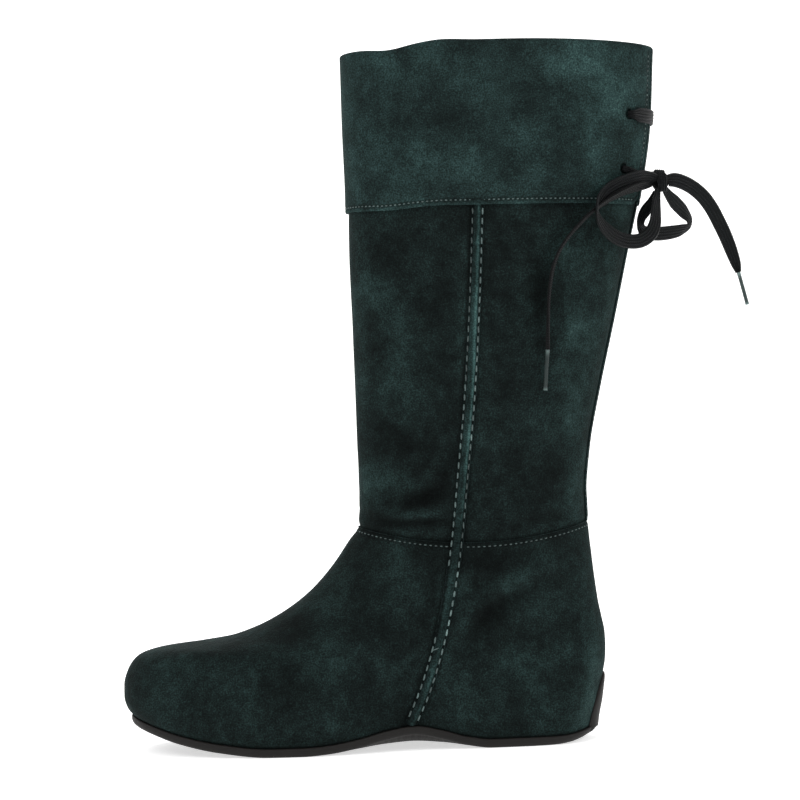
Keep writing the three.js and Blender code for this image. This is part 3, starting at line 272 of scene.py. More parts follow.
def smooth_curve(xs, ys):
    """Smooth curve through points that never overshoots them."""
    xs = np.asarray(xs, float)
    ys = np.asarray(ys, float)
    slopes = np.diff(ys) / np.diff(xs)
    tangents = np.empty_like(ys)
    tangents[0] = slopes[0]
    tangents[-1] = slopes[-1]
    for i in range(1, len(xs) - 1):
        before, after = slopes[i - 1], slopes[i]
        if before * after <= 0:
            tangents[i] = 0
            continue
        span_before = xs[i] - xs[i - 1]
        span_after = xs[i + 1] - xs[i]
        weight = (span_before + 2 * span_after) / (3 * (span_before + span_after))
        tangents[i] = before * after / (weight * after + (1 - weight) * before)

    def value(at):
        x = np.clip(at, xs[0], xs[-1])
        i = np.clip(np.searchsorted(xs, x, side="right") - 1, 0, len(xs) - 2)
        span = xs[i + 1] - xs[i]
        t = (x - xs[i]) / span
        t2 = t * t
        t3 = t2 * t
        low = ys[i] * (2 * t3 - 3 * t2 + 1) + ys[i + 1] * (3 * t2 - 2 * t3)
        return low + span * (tangents[i] * (t3 - 2 * t2 + t) + tangents[i + 1] * (t3 - t2))

    return value


def table_curve(rows, column):
    return smooth_curve([row[0] for row in rows], [row[column] for row in rows])


# Sole line
heel_rise_at = table_curve(SOLE_LINE, 1)
arch_rise_at = table_curve(SOLE_LINE, 2)
toe_rise_at = table_curve(SOLE_LINE, 3)


def sole_bottom(x):
    along = np.clip((HEEL_SETBACK - x) / FOOT_LENGTH, 0, 1)
    low = ARCH_RISE * arch_rise_at(along) + TOE_SPRING * toe_rise_at(along)
    return low + HEEL_RISE * heel_rise_at(along)


def sole_top(x):
    return sole_bottom(x) + SOLE_THICKNESS


# Sections of the upper
TOE_X = HEEL_SETBACK - FOOT_LENGTH
ANKLE_BACK_X = HEEL_SETBACK - HEEL_CURVE
ANKLE_FRONT_X = ANKLE_BACK_X - ANKLE_DEPTH
HALF_BALL = BALL_WIDTH / 2
LASTED_TOE_X = mix(TOE_X, ANKLE_FRONT_X, FOOT[0][0])
SECTION_PARTS = (
    "front_x", "back_x", "front_z", "back_z", "side", "print", "toe", "heel", "follow", "swing", "bow",
)


def foot_section(row):
    front_run, front_rise, back_run, back_rise, side, outline, toe, heel, follow, dip = row
    ankle_share = ANKLE_WIDTH / 2 / (HALF_BALL * FOOT[-1][4])
    return (
        mix(TOE_X, ANKLE_FRONT_X, front_run),
        mix(HEEL_SETBACK, ANKLE_BACK_X, back_run),
        mix(float(sole_top(LASTED_TOE_X)), ANKLE_HEIGHT, front_rise),
        mix(float(sole_top(ANKLE_BACK_X)), ANKLE_HEIGHT, back_rise),
        HALF_BALL * side * mix(1, ankle_share, 1 - outline),
        outline, toe, heel, follow, TOE_SWING * outline, -ANKLE_DIP * dip,
    )


def shaft_section(row):
    rise, front, back, width, dip, crown = row
    z = mix(ANKLE_HEIGHT, SHAFT_TOP, rise)
    blunt = mix(1, RIM_BLUNTNESS, width)
    return (
        ANKLE_FRONT_X - FRONT_LEAN * front, ANKLE_BACK_X + BACK_FLARE * back, z, z,
        mix(ANKLE_WIDTH, TOP_WIDTH, width) / 2, 0, blunt, blunt, 0, 0,
        RIM_CROWN * crown - ANKLE_DIP * dip,
    )


SECTIONS = [foot_section(row) for row in FOOT] + [shaft_section(row) for row in SHAFT]
SEAM_LEVEL = len(FOOT) - 1
TOP_LEVEL = len(SECTIONS) - 1
SECTION = {
    name: smooth_curve(range(len(SECTIONS)), [section[i] for section in SECTIONS])
    for i, name in enumerate(SECTION_PARTS)
}
outer_print = table_curve(FOOTPRINT, 1)
inner_print = table_curve(FOOTPRINT, 2)


def unit(vectors):
    return vectors / np.linalg.norm(vectors, axis=-1, keepdims=True)


def upper_point(angle, level):
    """Points of the upper's outside; angle 0 is the back, a half turn the front."""
    angle, level = np.broadcast_arrays(np.asarray(angle, float), np.asarray(level, float))
    at = {name: curve(level) for name, curve in SECTION.items()}
    s = (1 - np.cos(angle)) / 2
    x = mix(at["back_x"], at["front_x"], s)
    chord = mix(sole_top(at["back_x"]), sole_top(at["front_x"]), s)
    z = mix(at["back_z"], at["front_z"], s) + at["follow"] * (sole_top(x) - chord)
    z = z + at["bow"] * 4 * s * (1 - s)
    middle = 2 - (at["heel"] + at["toe"]) / 2
    oval = at["heel"] * (1 - s) ** 2 + 2 * middle * s * (1 - s) + at["toe"] * s ** 2
    outline = np.where(np.sin(angle) >= 0, outer_print(s), inner_print(s))
    full = mix(oval, outline, at["print"])
    y = at["swing"] * s * s - at["side"] * np.sin(angle) * full
    return np.stack([x, y, z], -1)


def upper_normal(angle, level):
    tiny = 1e-3
    low = np.clip(np.asarray(level, float) - tiny, 0, TOP_LEVEL)
    high = np.clip(np.asarray(level, float) + tiny, 0, TOP_LEVEL)
    around = upper_point(angle + tiny, level) - upper_point(angle - tiny, level)
    up = upper_point(angle, high) - upper_point(angle, low)
    return unit(np.cross(up, around))


def upper_offset(angle, level, distance):
    return upper_point(angle, level) + upper_normal(angle, level) * np.asarray(distance)[..., None]


def level_at_height(angle, z):
    angle, z = np.broadcast_arrays(np.asarray(angle, float), np.asarray(z, float))
    low = np.zeros(angle.shape)
    high = np.full(angle.shape, float(TOP_LEVEL))
    for _ in range(24):
        middle = (low + high) / 2
        below = upper_point(angle, middle)[..., 2] < z
        low = np.where(below, middle, low)
        high = np.where(below, high, middle)
    return (low + high) / 2


def place_on_side(x, z, side):
    """Angle and level of the upper's outside at (x, z) seen from the side."""
    x, z = np.broadcast_arrays(np.asarray(x, float), np.asarray(z, float))
    low = np.zeros(x.shape)
    high = np.full(x.shape, float(TOP_LEVEL))
    for _ in range(28):
        level = (low + high) / 2
        back = SECTION["back_x"](level)
        front = SECTION["front_x"](level)
        angle = np.arccos(np.clip(1 - 2 * (x - back) / (front - back), -1, 1))
        below = upper_point(angle, level)[..., 2] < z
        low = np.where(below, level, low)
        high = np.where(below, high, level)
    return (angle if side > 0 else 2 * math.pi - angle), (low + high) / 2


def lap(level):
    """Extra thickness of the foot part, whose edge lies over the shaft at the ankle seam."""
    level = np.asarray(level, float)
    return np.where(level > SEAM_LEVEL, 0, SEAM_STEP * np.clip(1 - (SEAM_LEVEL - level) / 3, 0, 1))


def print_point(angle, outwards, height):
    """The footprint's outline moved outwards in plan, at a height above the sole's line."""
    point = upper_point(angle, 0.0)
    around = upper_point(angle + 1e-3, 0.0) - upper_point(angle - 1e-3, 0.0)
    out = unit(np.stack([-around[..., 1], around[..., 0], np.zeros_like(around[..., 0])], -1))
    point = point + out * np.asarray(outwards)[..., None]
    point[..., 2] = sole_top(point[..., 0]) + height
    return point


def rim_height(angle):
    """Rim of the shaft: the front sags on the outer side, and it is drawn up beside that."""
    point = upper_point(angle, float(TOP_LEVEL))
    outer = smooth_step(0.5 - point[..., 1] / 20)
    x = point[..., 0]
    sag = 2.0 * np.exp(-((x + 62) / 11) ** 2) - 1.1 * np.exp(-((x + 34) / 12) ** 2)
    return point[..., 2] - sag * outer


def shaft_point(angle, z, distance):
    level = level_at_height(angle, z)
    point = upper_point(angle, level)
    out = upper_normal(angle, level)
    out[..., 2] = 0
    point = point + unit(out) * np.asarray(distance)[..., None]
    point[..., 2] = z
    return point


def angle_along_rim(start, distance):
    angle = start
    left = abs(distance)
    while left > 1e-6:
        ends = upper_point(np.array([angle - 1e-3, angle + 1e-3]), float(TOP_LEVEL))
        speed = np.linalg.norm(ends[1] - ends[0]) / 2e-3
        stretch = min(0.25, left)
        angle += math.copysign(stretch, distance) / speed
        left -= stretch
    return angle


SLIT_ANGLE = angle_along_rim(0, SLIT_SIDE)
NEAR_FLAP = angle_along_rim(SLIT_ANGLE, SLIT_GAP / 2)
FAR_FLAP = angle_along_rim(SLIT_ANGLE, -SLIT_GAP / 2)
NEAR_HOLE = angle_along_rim(NEAR_FLAP, HOLE_BACK)
FAR_HOLE = angle_along_rim(FAR_FLAP, -HOLE_BACK)


def cuff_frame(angle, drop, distance):
    """Centre, way out, way round and way up on the cuff's outside."""
    angle = np.asarray(angle, float)
    z = rim_height(angle) - drop
    level = level_at_height(angle, z)
    out = upper_normal(angle, level)
    centre = shaft_point(angle, z, np.full(angle.shape, GAP + CUFF_THICKNESS)) + out * distance
    around = unit(np.cross(np.array([0.0, 0.0, 1.0]), out))
    up = np.cross(out, around)
    return centre, out, around, up


# Creases and worn patches
def crease_lines():
    lines = []
    for side, depth, width, line in CREASES:
        x = np.array([p[0] for p in line], float)
        z = np.array([p[1] for p in line], float)
        at = np.linspace(0, len(line) - 1, 3 * len(line))
        knots = np.arange(len(line))
        angle, level = place_on_side(smooth_curve(knots, x)(at), smooth_curve(knots, z)(at), side)
        lines.append((depth, width, upper_point(angle, level)))
    return lines


CREASE_LINES = crease_lines()


def distance_to_line(points, line):
    """Distance to a line of points, and how far along it the nearest place is."""
    nearest = np.full(len(points), 1e9)
    along = np.zeros(len(points))
    for i in range(len(line) - 1):
        step = line[i + 1] - line[i]
        t = np.clip((points - line[i]) @ step / (step @ step), 0, 1)
        gap = np.linalg.norm(points - (line[i] + t[:, None] * step), axis=1)
        closer = gap < nearest
        nearest = np.where(closer, gap, nearest)
        along = np.where(closer, (i + t) / (len(line) - 1), along)
    return nearest, along


def crease_height(points):
    """Height of the creases at the points: a soft trough lies between two low shoulders."""
    flat = points.reshape(-1, 3)
    height = np.zeros(len(flat))
    for depth, width, line in CREASE_LINES:
        middle = line.mean(axis=0)
        reach = np.linalg.norm(line - middle, axis=1).max() + 4 * width
        near = np.where(np.linalg.norm(flat - middle, axis=1) < reach)[0]
        if not len(near):
            continue
        gap, along = distance_to_line(flat[near], line)
        fade = smooth_step(along / 0.3) * smooth_step((1 - along) / 0.3)
        fade = 0.25 + 0.75 * fade
        shape = np.exp(-(gap / width) ** 2) - 0.3 * np.exp(-((gap - 2 * width) / width) ** 2)
        height[near] += depth * fade * shape
    return height.reshape(points.shape[:-1])


def patch_tone(points):
    """Lightness as a power of e: 0 is plain; the patches lighten and darken the nap, and some of them are painted
    shade and painted highlights.
    """
    x, y, z = points[..., 0], points[..., 1], points[..., 2]
    tone = np.zeros(x.shape)
    for side, at_x, at_z, width, height, amount in PATCHES:
        facing = smooth_step(0.5 - y * side / 14)
        tone += amount * facing * np.exp(-((x - at_x) / width) ** 2 - ((z - at_z) / height) ** 2)
    return tone


def strip_middle(z):
    """Where the side strips' middle lies along the boot, at a height."""
    lowest = HEEL_SETBACK - FOOT_LENGTH * SIDE_STRIP[0][1]
    foot = float(sole_top(lowest)) + STRIP_FOOT_CLEARANCE
    share = (z - foot) / (SHAFT_TOP - CUFF_HEIGHT - GAP - foot)
    return HEEL_SETBACK - FOOT_LENGTH * table_curve(SIDE_STRIP, 1)(share)


def beside_strip(points):
    """Shade in the corner along the side strips' edges, deepest in front of the upper part."""
    x, y, z = points[..., 0], points[..., 1], points[..., 2]
    from_middle = x - strip_middle(z)
    gap = np.abs(from_middle) - STRIP_WIDTH / 2
    front = np.where(from_middle < 0, 0.5 + 0.4 * smooth_step((z - 150) / 40), 0.35)
    below_cuff = smooth_step((282 - z) / 3) * (np.abs(y) > 8)
    return -front * np.exp(-(np.maximum(gap, 0) / 1.3) ** 2) * below_cuff


# Meshes
def new_grid(name, table, tone=None):
    """A grid primitive whose points are laid out by a table of rows and columns, in millimetres."""
    rows, columns = table.shape[0] - 1, table.shape[1] - 1
    if bpy.context.object is not None and bpy.context.object.mode != "OBJECT":
        bpy.ops.object.mode_set(mode="OBJECT")
    bpy.ops.object.select_all(action="DESELECT")
    bpy.ops.mesh.primitive_grid_add(x_subdivisions=columns, y_subdivisions=rows, size=2.0)
    piece = bpy.context.object
    piece.name = name
    piece.data.name = name
    mesh = piece.data
    if len(mesh.vertices) != (rows + 1) * (columns + 1):
        raise RuntimeError(f"{name}: the grid has {len(mesh.vertices)} points")
    flat = np.empty(len(mesh.vertices) * 3, np.float32)
    mesh.vertices.foreach_get("co", flat)
    grid = flat.reshape(-1, 3)
    column = np.rint((grid[:, 0] + 1) / 2 * columns).astype(int)
    row = np.rint((grid[:, 1] + 1) / 2 * rows).astype(int)
    mesh.vertices.foreach_set("co", (table[row, column] * MM).astype(np.float32).ravel())
    shade = mesh.attributes.new("tone", "FLOAT", "POINT")
    values = np.ones(len(row)) if tone is None else tone[row, column]
    shade.data.foreach_set("value", values.astype(np.float32))
    # UV in metres: across the columns and up the rows
    steps_u = np.linalg.norm(np.diff(table, axis=1), axis=2).mean(axis=0)
    steps_v = np.linalg.norm(np.diff(table, axis=0), axis=2).mean(axis=1)
    u = np.concatenate([[0], np.cumsum(steps_u)]) * MM
    v = np.concatenate([[0], np.cumsum(steps_v)]) * MM
    corner = np.empty(len(mesh.loops), np.int32)
    mesh.loops.foreach_get("vertex_index", corner)
    uv = np.stack([u[column[corner]], v[row[corner]]], -1)
    mesh.uv_layers[0].data.foreach_set("uv", uv.astype(np.float32).ravel())
    quads = corner.reshape(-1, 4)
    face_row = row[quads].min(axis=1)
    mesh.update()
    return piece, face_row


def signed_volume(mesh):
    mesh.calc_loop_triangles()
    points = np.empty(len(mesh.vertices) * 3)
    mesh.vertices.foreach_get("co", points)
    points = points.reshape(-1, 3)
    index = np.empty(len(mesh.loop_triangles) * 3, np.int32)
    mesh.loop_triangles.foreach_get("vertices", index)
    a, b, c = points[index.reshape(-1, 3)].transpose(1, 0, 2)
    return float((a * np.cross(b, c)).sum() / 6)


def edit(piece, *calls):
    """Runs edit mode operators on the whole of one piece."""
    bpy.ops.object.select_all(action="DESELECT")
    piece.select_set(True)
    bpy.context.view_layer.objects.active = piece
    bpy.ops.object.mode_set(mode="EDIT")
    bpy.ops.mesh.select_mode(type="VERT")
    bpy.ops.mesh.select_all(action="SELECT")
    for call in calls:
        call()
    bpy.ops.object.mode_set(mode="OBJECT")


def close_seams(piece):
    """Merges the seams of a closed grid, and points its faces outwards."""
    edit(piece, lambda: bpy.ops.mesh.remove_doubles(threshold=1e-6))
    if signed_volume(piece.data) < 0:
        edit(piece, bpy.ops.mesh.flip_normals)
    smooth(piece)


def smooth(piece, degrees=50.0):
    bpy.ops.object.select_all(action="DESELECT")
    piece.select_set(True)
    bpy.context.view_layer.objects.active = piece
    bpy.ops.object.shade_smooth_by_angle(angle=math.radians(degrees))


def add_modifier(piece, kind, **settings):
    """Adds a modifier with its settings and applies it."""
    bpy.ops.object.select_all(action="DESELECT")
    piece.select_set(True)
    bpy.context.view_layer.objects.active = piece
    modifier = piece.modifiers.new(kind.title(), kind)
    for name, value in settings.items():
        setattr(modifier, name, value)
    bpy.ops.object.modifier_apply(modifier=modifier.name)


def finish_piece(piece, slot, *nodes):
    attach(piece, "root")
    if nodes:
        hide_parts(*nodes)
    return piece


def dress(piece, *materials, faces=None):
    """Gives a piece its materials; faces holds the number of the material of each face."""
    piece.data.materials.clear()
    for material in materials:
        piece.data.materials.append(material)
    if faces is not None:
        piece.data.polygons.foreach_set("material_index", np.asarray(faces, np.int32))
        piece.data.update()


# Levels with rings close enough together to carry the creases
def close_levels(start, end, spacing):
    angle = np.linspace(0, 2 * math.pi, 48, endpoint=False)
    marks = [start, *range(math.floor(start) + 1, math.ceil(end)), end]
    levels = []
    for low, high in zip(marks[:-1], marks[1:]):
        reach = np.linalg.norm(upper_point(angle, float(high)) - upper_point(angle, float(low)), axis=1)
        count = max(1, math.ceil(reach.max() / spacing))
        levels.extend(np.linspace(low, high, count, endpoint=False))
    return np.array([*levels, end])


def seam_pinch(height):
    """The shaft is drawn in just above the edge of the foot part, and swells over it."""
    return -0.75 * np.exp(-(height / 2.4) ** 2) + 0.7 * np.exp(-((height - 9) / 6) ** 2)


def upper_relief(angle, level):
    """Height of creases, seam lines and gathers over the plain surface, and the tone: the nap's patches with painted
    shade and painted highlights.
    """
    point = upper_point(angle, level)
    height = crease_height(point)
    # Painted shade in the crease troughs and a painted highlight on their ridges, with the shade beside the strips
    tone = patch_tone(point) + 0.3 * np.clip(height, -1.5, 1.5) + beside_strip(point)
    # Painted highlight down the back of the shaft and the heel, and a little down the front, where the edges catch
    # the light
    from_back = SECTION["back_x"](level) - point[..., 0]
    from_front = point[..., 0] - SECTION["front_x"](level)
    on_shaft = smooth_step((point[..., 2] - 100) / 20)
    tone = tone + (0.2 + 0.3 * on_shaft) * np.exp(-((from_back - 7) / 6) ** 2)
    tone = tone + 0.22 * on_shaft * np.exp(-((from_front - 3) / 4) ** 2)
    # Painted shade in the join just above the sole
    tone = tone - 0.8 * np.exp(-((point[..., 2] - sole_top(point[..., 0])) / 0.7) ** 2)
    seam_z = upper_point(angle, np.full(np.shape(level), float(SEAM_LEVEL)))[..., 2]
    above = point[..., 2] - seam_z
    pinch = np.where(level >= SEAM_LEVEL, seam_pinch(above), 0)
    under_cuff = smooth_step((point[..., 2] - 274) / 6)
    height = (height + pinch) * (1 - under_cuff)
    # Painted shade in the groove just above the foot part's edge
    tone -= np.where(level >= SEAM_LEVEL, 0.45 * np.exp(-(above / 1.8) ** 2), 0)
    # Row of stitches under the foot part's edge, pressed into the suede, with painted shade in its groove
    row = np.where(level < SEAM_LEVEL, np.exp(-((above + 1.9) / 0.8) ** 2), 0)
    height -= 0.3 * row
    tone -= 0.55 * row
    # Closing seam down the back of the foot part, with painted shade in its groove
    back_seam = np.exp(-((point[..., 1] + 1.6) / 0.7) ** 2) * (np.cos(angle) > 0)
    back_seam = back_seam * smooth_step((SEAM_LEVEL - level) / 0.3) * (level > 2)
    height -= 0.55 * back_seam
    tone -= 0.7 * back_seam
    return height, np.exp(tone)


def inner_wall(angle, level):
    """A ring of the lined inside, which follows the deeper creases of the outside."""
    level = np.full(angle.shape, float(level))
    height = np.minimum(crease_height(upper_point(angle, level)), 0)
    return upper_offset(angle, level, height - WALL)


def foot_rows():
    columns = 480
    angle = np.linspace(0, 2 * math.pi, columns + 1)[None, :]
    levels = close_levels(0, SEAM_LEVEL, 1.6)[:, None]
    wide = np.broadcast_to(angle, (len(levels), columns + 1))
    high = np.broadcast_to(levels, wide.shape)
    relief, tone = upper_relief(wide, high)
    outer = upper_offset(wide, high, lap(high) + relief)
    outer[..., 2] = np.maximum(outer[..., 2], sole_top(outer[..., 0]) + GAP)
    margin = print_point(angle, np.full(angle.shape, -LASTING_MARGIN), GAP)
    edge = print_point(angle, np.full(angle.shape, -1.0), GAP)
    seam = float(SEAM_LEVEL)
    rolled = []
    for rise, distance in ((0.3, 0.62), (0.5, 0.4), (0.45, 0.15), (0.0, 0.05)):
        ring = upper_offset(angle, np.full(angle.shape, seam), np.full(angle.shape, distance))
        ring[..., 2] += rise
        rolled.append(ring)
    inner = []
    for level, distance in ((13.6, 0.05), (13.15, 0.05), (13.05, -1.0), (13.0, -WALL)):
        fold = np.minimum(crease_height(upper_point(angle, level)), 0)
        inner.append(upper_offset(angle, np.full(angle.shape, level), distance + fold))
    for level in np.arange(12.5, -0.1, -0.5):
        ring = inner_wall(angle, level)
        ring[..., 2] = np.maximum(ring[..., 2], sole_top(ring[..., 0]) + GAP + WALL)
        inner.append(ring)
    inner_margin = print_point(angle, np.full(angle.shape, -LASTING_MARGIN), GAP + WALL)
    table = np.concatenate([margin, edge, outer, *rolled, *inner, inner_margin, margin])
    shade = np.ones(table.shape[:2])
    shade[2:2 + len(outer)] = tone
    return table, shade, 2 + len(outer) + len(rolled) + 2


def shaft_rows():
    columns = 400
    angle = np.linspace(0, 2 * math.pi, columns + 1)[None, :]
    start = 13.2
    cuff_level = 19.2
    levels = np.concatenate([
        close_levels(start, cuff_level, 1.0)[:-1],
        close_levels(cuff_level, TOP_LEVEL, 5.0),
    ])[:, None]
    wide = np.broadcast_to(angle, (len(levels), columns + 1))
    high = np.broadcast_to(levels, wide.shape)
    relief, tone = upper_relief(wide, high)
    hidden = smooth_step((SEAM_LEVEL + 0.03 - high) / 0.03)
    fold = np.minimum(crease_height(upper_point(wide, high)), 0)
    outer = upper_offset(wide, high, relief * (1 - hidden) + (fold - 0.08) * hidden)
    outer[-1, :, 2] = rim_height(angle[0])
    inner = []
    lower = close_levels(start, 16.0, 2.0)[::-1]
    for level in [*np.arange(float(TOP_LEVEL), 16.0, -0.5), *lower]:
        ring = inner_wall(angle, level)
        if level == TOP_LEVEL:
            ring[..., 2] = rim_height(angle)
        inner.append(ring)
    table = np.concatenate([outer, *inner, outer[:1]])
    shade = np.ones(table.shape[:2])
    shade[:len(outer)] = tone
    return table, shade, len(outer)


def build_upper():
    looks = bpy.context.scene.boot_colours
    suede = suede_material("napped_suede", looks.suede_dark, looks.suede_light, looks.suede_nap)
    lining = lining_material()
    pieces = []
    for name, rows in (("foot_part", foot_rows), ("shaft", shaft_rows)):
        table, tone, first_inner = rows()
        piece, face_row = new_grid(name, table, tone)
        dress(piece, suede, lining, faces=face_row >= first_inner)
        close_seams(piece)
        pieces.append(finish_piece(piece, "suede", "upper"))
    return pieces


# Cuff
def cuff_wave(angle, drop, span):
    """How far the soft cuff stands off the shaft: it opens a little towards its lower edge."""
    low = smooth_step(drop / span)
    wave = 0.5 * np.sin(3 * angle + 0.6) + 0.35 * np.sin(7 * angle + 2.0)
    return low * (0.35 + 0.45 * wave) + 0.25 * np.sin(2 * angle + drop / 14) * low


def hole_places():
    return [(angle, drop) for drop in (UPPER_HOLES, LOWER_HOLES) for angle in (NEAR_HOLE, FAR_HOLE)]


def cuff_rows():
    end = FAR_FLAP + 2 * math.pi
    near_corner = angle_along_rim(NEAR_FLAP, FLAP_CORNER)
    far_corner = angle_along_rim(end, -FLAP_CORNER)
    angle = np.concatenate([
        np.linspace(NEAR_FLAP, near_corner, 12)[:-1],
        np.linspace(near_corner, far_corner, 400),
        np.linspace(far_corner, end, 12)[1:],
    ])
    from_edge = FLAP_CORNER * np.minimum(
        (angle - NEAR_FLAP) / (near_corner - NEAR_FLAP), (end - angle) / (end - far_corner)
    )
    inside = np.clip(FLAP_CORNER - from_edge, 0, FLAP_CORNER)
    lift = FLAP_CORNER - np.sqrt(np.maximum(FLAP_CORNER ** 2 - inside ** 2, 0))
    rim = rim_height(angle)
    bottom = SHAFT_TOP - CUFF_HEIGHT + (rim - SHAFT_TOP) * CUFF_CROWN + lift
    rows = []
    tones = []
    shoulder = 1.3
    face = GAP + CUFF_THICKNESS
    span = CUFF_HEIGHT
    holes = [cuff_frame(np.array([a]), d, 0.0)[0][0] for a, d in hole_places()]
    for share in np.linspace(0, 1, 84):
        z = mix(bottom, rim - shoulder, share)
        drop = rim - z
        point = shaft_point(angle, z, np.full(angle.shape, face))
        off = cuff_wave(angle, drop, span)
        from_bottom = z - bottom
        # The edge is turned soft, with a painted highlight along it, and the row of stitches is pressed in above it,
        # with painted shade in its groove
        row = np.exp(-((from_bottom - 2.5) / 0.75) ** 2)
        off -= 0.35 * np.exp(-(from_bottom / 0.7) ** 2)
        off -= 0.28 * row
        tone = 0.35 * np.exp(-(from_bottom / 1.5) ** 2) - 0.6 * row
        # The rows of stitches down the flaps' edges are pressed in too, with painted shade in their grooves
        side_gap = np.minimum(angle - NEAR_FLAP, end - angle) * 38
        side_row = np.exp(-((side_gap - 2.6) / 0.75) ** 2)
        off -= 0.28 * side_row
        tone -= 0.4 * side_row
        # It swells over the top of each side strip
        over_strip = np.exp(-((point[:, 0] - strip_middle(bottom)) / 4) ** 2) * (np.abs(point[:, 1]) > 8)
        over_strip = over_strip * (1 - smooth_step(from_bottom / 12))
        off += 0.6 * over_strip
        tone = tone + 0.25 * over_strip
        for hole in holes:
            gap = np.linalg.norm(point - hole, axis=1)
            off -= 0.55 * np.exp(-(gap / 4.2) ** 2)
            tone -= 0.3 * np.exp(-(gap / 3.6) ** 2)
        rows.append(shaft_point(angle, z, face + off))
        tones.append(np.exp(tone + cuff_tone(point)))
    turn = np.linspace(0, math.pi, 12)
    thick = WALL + 2 * GAP + 2 * CUFF_THICKNESS
    for t in turn:
        ring = shaft_point(angle, rim - 0.01, np.full(angle.shape, face - thick * (1 - math.cos(t)) / 2))
        ring[:, 2] = rim + (GAP + CUFF_THICKNESS) * math.sin(t) ** 0.8 if 0 < t < math.pi else rim
        rows.append(ring)
        tones.append(np.exp(cuff_tone(ring)))
    for drop in (1.5, 3.2, 5.0, CUFF_LIP):
        rows.append(shaft_point(angle, rim - drop, np.full(angle.shape, face - thick)))
        tones.append(np.full(angle.shape, 0.9))
    return np.stack(rows), np.stack(tones)


def cuff_tone(points):
    """Lightness of the cuff: painted highlights high up towards the back, along the top and down the front edge, and
    a few soft lighter and darker patches.
    """
    x, y, z = points[..., 0], points[..., 1], points[..., 2]
    tone = 0.0
    for at_x, at_z, width, height, amount in (
        (46, 335, 24, 26, 0.34), (38, 300, 16, 14, 0.16), (30, 353, 30, 6, 0.2), (-72, 346, 14, 8, 0.2),
        (0, 312, 34, 24, -0.12), (-40, 322, 24, 22, -0.08), (-82, 315, 7, 60, 0.15), (-30, 290, 30, 8, 0.06),
    ):
        tone = tone + amount * np.exp(-((x - at_x) / width) ** 2 - ((z - at_z) / height) ** 2)
    return tone


def build_cuff():
    looks = bpy.context.scene.boot_colours
    table, tone = cuff_rows()
    piece, _ = new_grid("suede_cuff", table, tone)
    middle = Vector((sum(CAD_BOX[i][0] for i in (0, 1)) / 2, 0, 0))
    outward = piece.data.polygons[len(piece.data.polygons) // 3]
    facing = outward.normal.dot(outward.center - middle)
    if facing < 0:
        edit(piece, bpy.ops.mesh.flip_normals)
    add_modifier(piece, "SOLIDIFY", thickness=CUFF_THICKNESS * MM, offset=-1.0, use_even_offset=False)
    add_modifier(piece, "BEVEL", width=0.45 * MM, segments=2, limit_method="ANGLE", angle_limit=math.radians(55))
    for angle, drop in hole_places():
        cut_hole(piece, angle, drop)
    smooth(piece, 60)
    dress(piece, suede_material("brushed_suede", looks.cuff_dark, looks.cuff_light, looks.suede_nap, 0.7))
    return finish_piece(piece, "suede", "cuff")


def cut_hole(piece, angle, drop):
    """Punches one hole through the cuff's outer layer alone."""
    centre, out, around, up = (v[0] for v in cuff_frame(np.array([angle]), drop, 0.0))
    bpy.ops.object.select_all(action="DESELECT")
    bpy.ops.mesh.primitive_cylinder_add(vertices=36, radius=1.0, depth=1.0)
    cutter = bpy.context.object
    low, high = -CUFF_THICKNESS - GAP / 2, CUFF_THICKNESS + 2
    sizes = (HOLE_WIDTH / 2, HOLE_HEIGHT / 2, high - low)
    middle = centre + out * (low + high) / 2
    turned = Matrix([list(around), list(up), list(out)]).transposed().to_4x4()
    scale = Matrix.Diagonal((*[s * MM for s in sizes], 1.0))
    cutter.data.transform(Matrix.Translation(Vector(middle * MM)) @ turned @ scale)
    add_modifier(piece, "BOOLEAN", operation="DIFFERENCE", object=cutter, solver="EXACT")
    bpy.data.objects.remove(cutter)


# Stitches
def stitch_shape(length, thickness, dip):
    """One stitch: a short thread, whose ends go down into the leather."""
    along = np.linspace(-1, 1, 9)
    turns = np.linspace(0, 2 * math.pi, 9)
    full = np.sqrt(np.clip(1 - np.abs(along) ** 3.2, 0, 1))
    x = along * length / 2
    z = -dip * np.abs(along) ** 3
    radius = thickness / 2 * full
    table = np.stack([
        np.broadcast_to(x[:, None], (9, 9)),
        radius[:, None] * np.cos(turns)[None, :],
        z[:, None] + radius[:, None] * np.sin(turns)[None, :],
    ], -1)
    piece, _ = new_grid("stitch", table)
    close_seams(piece)
    return piece


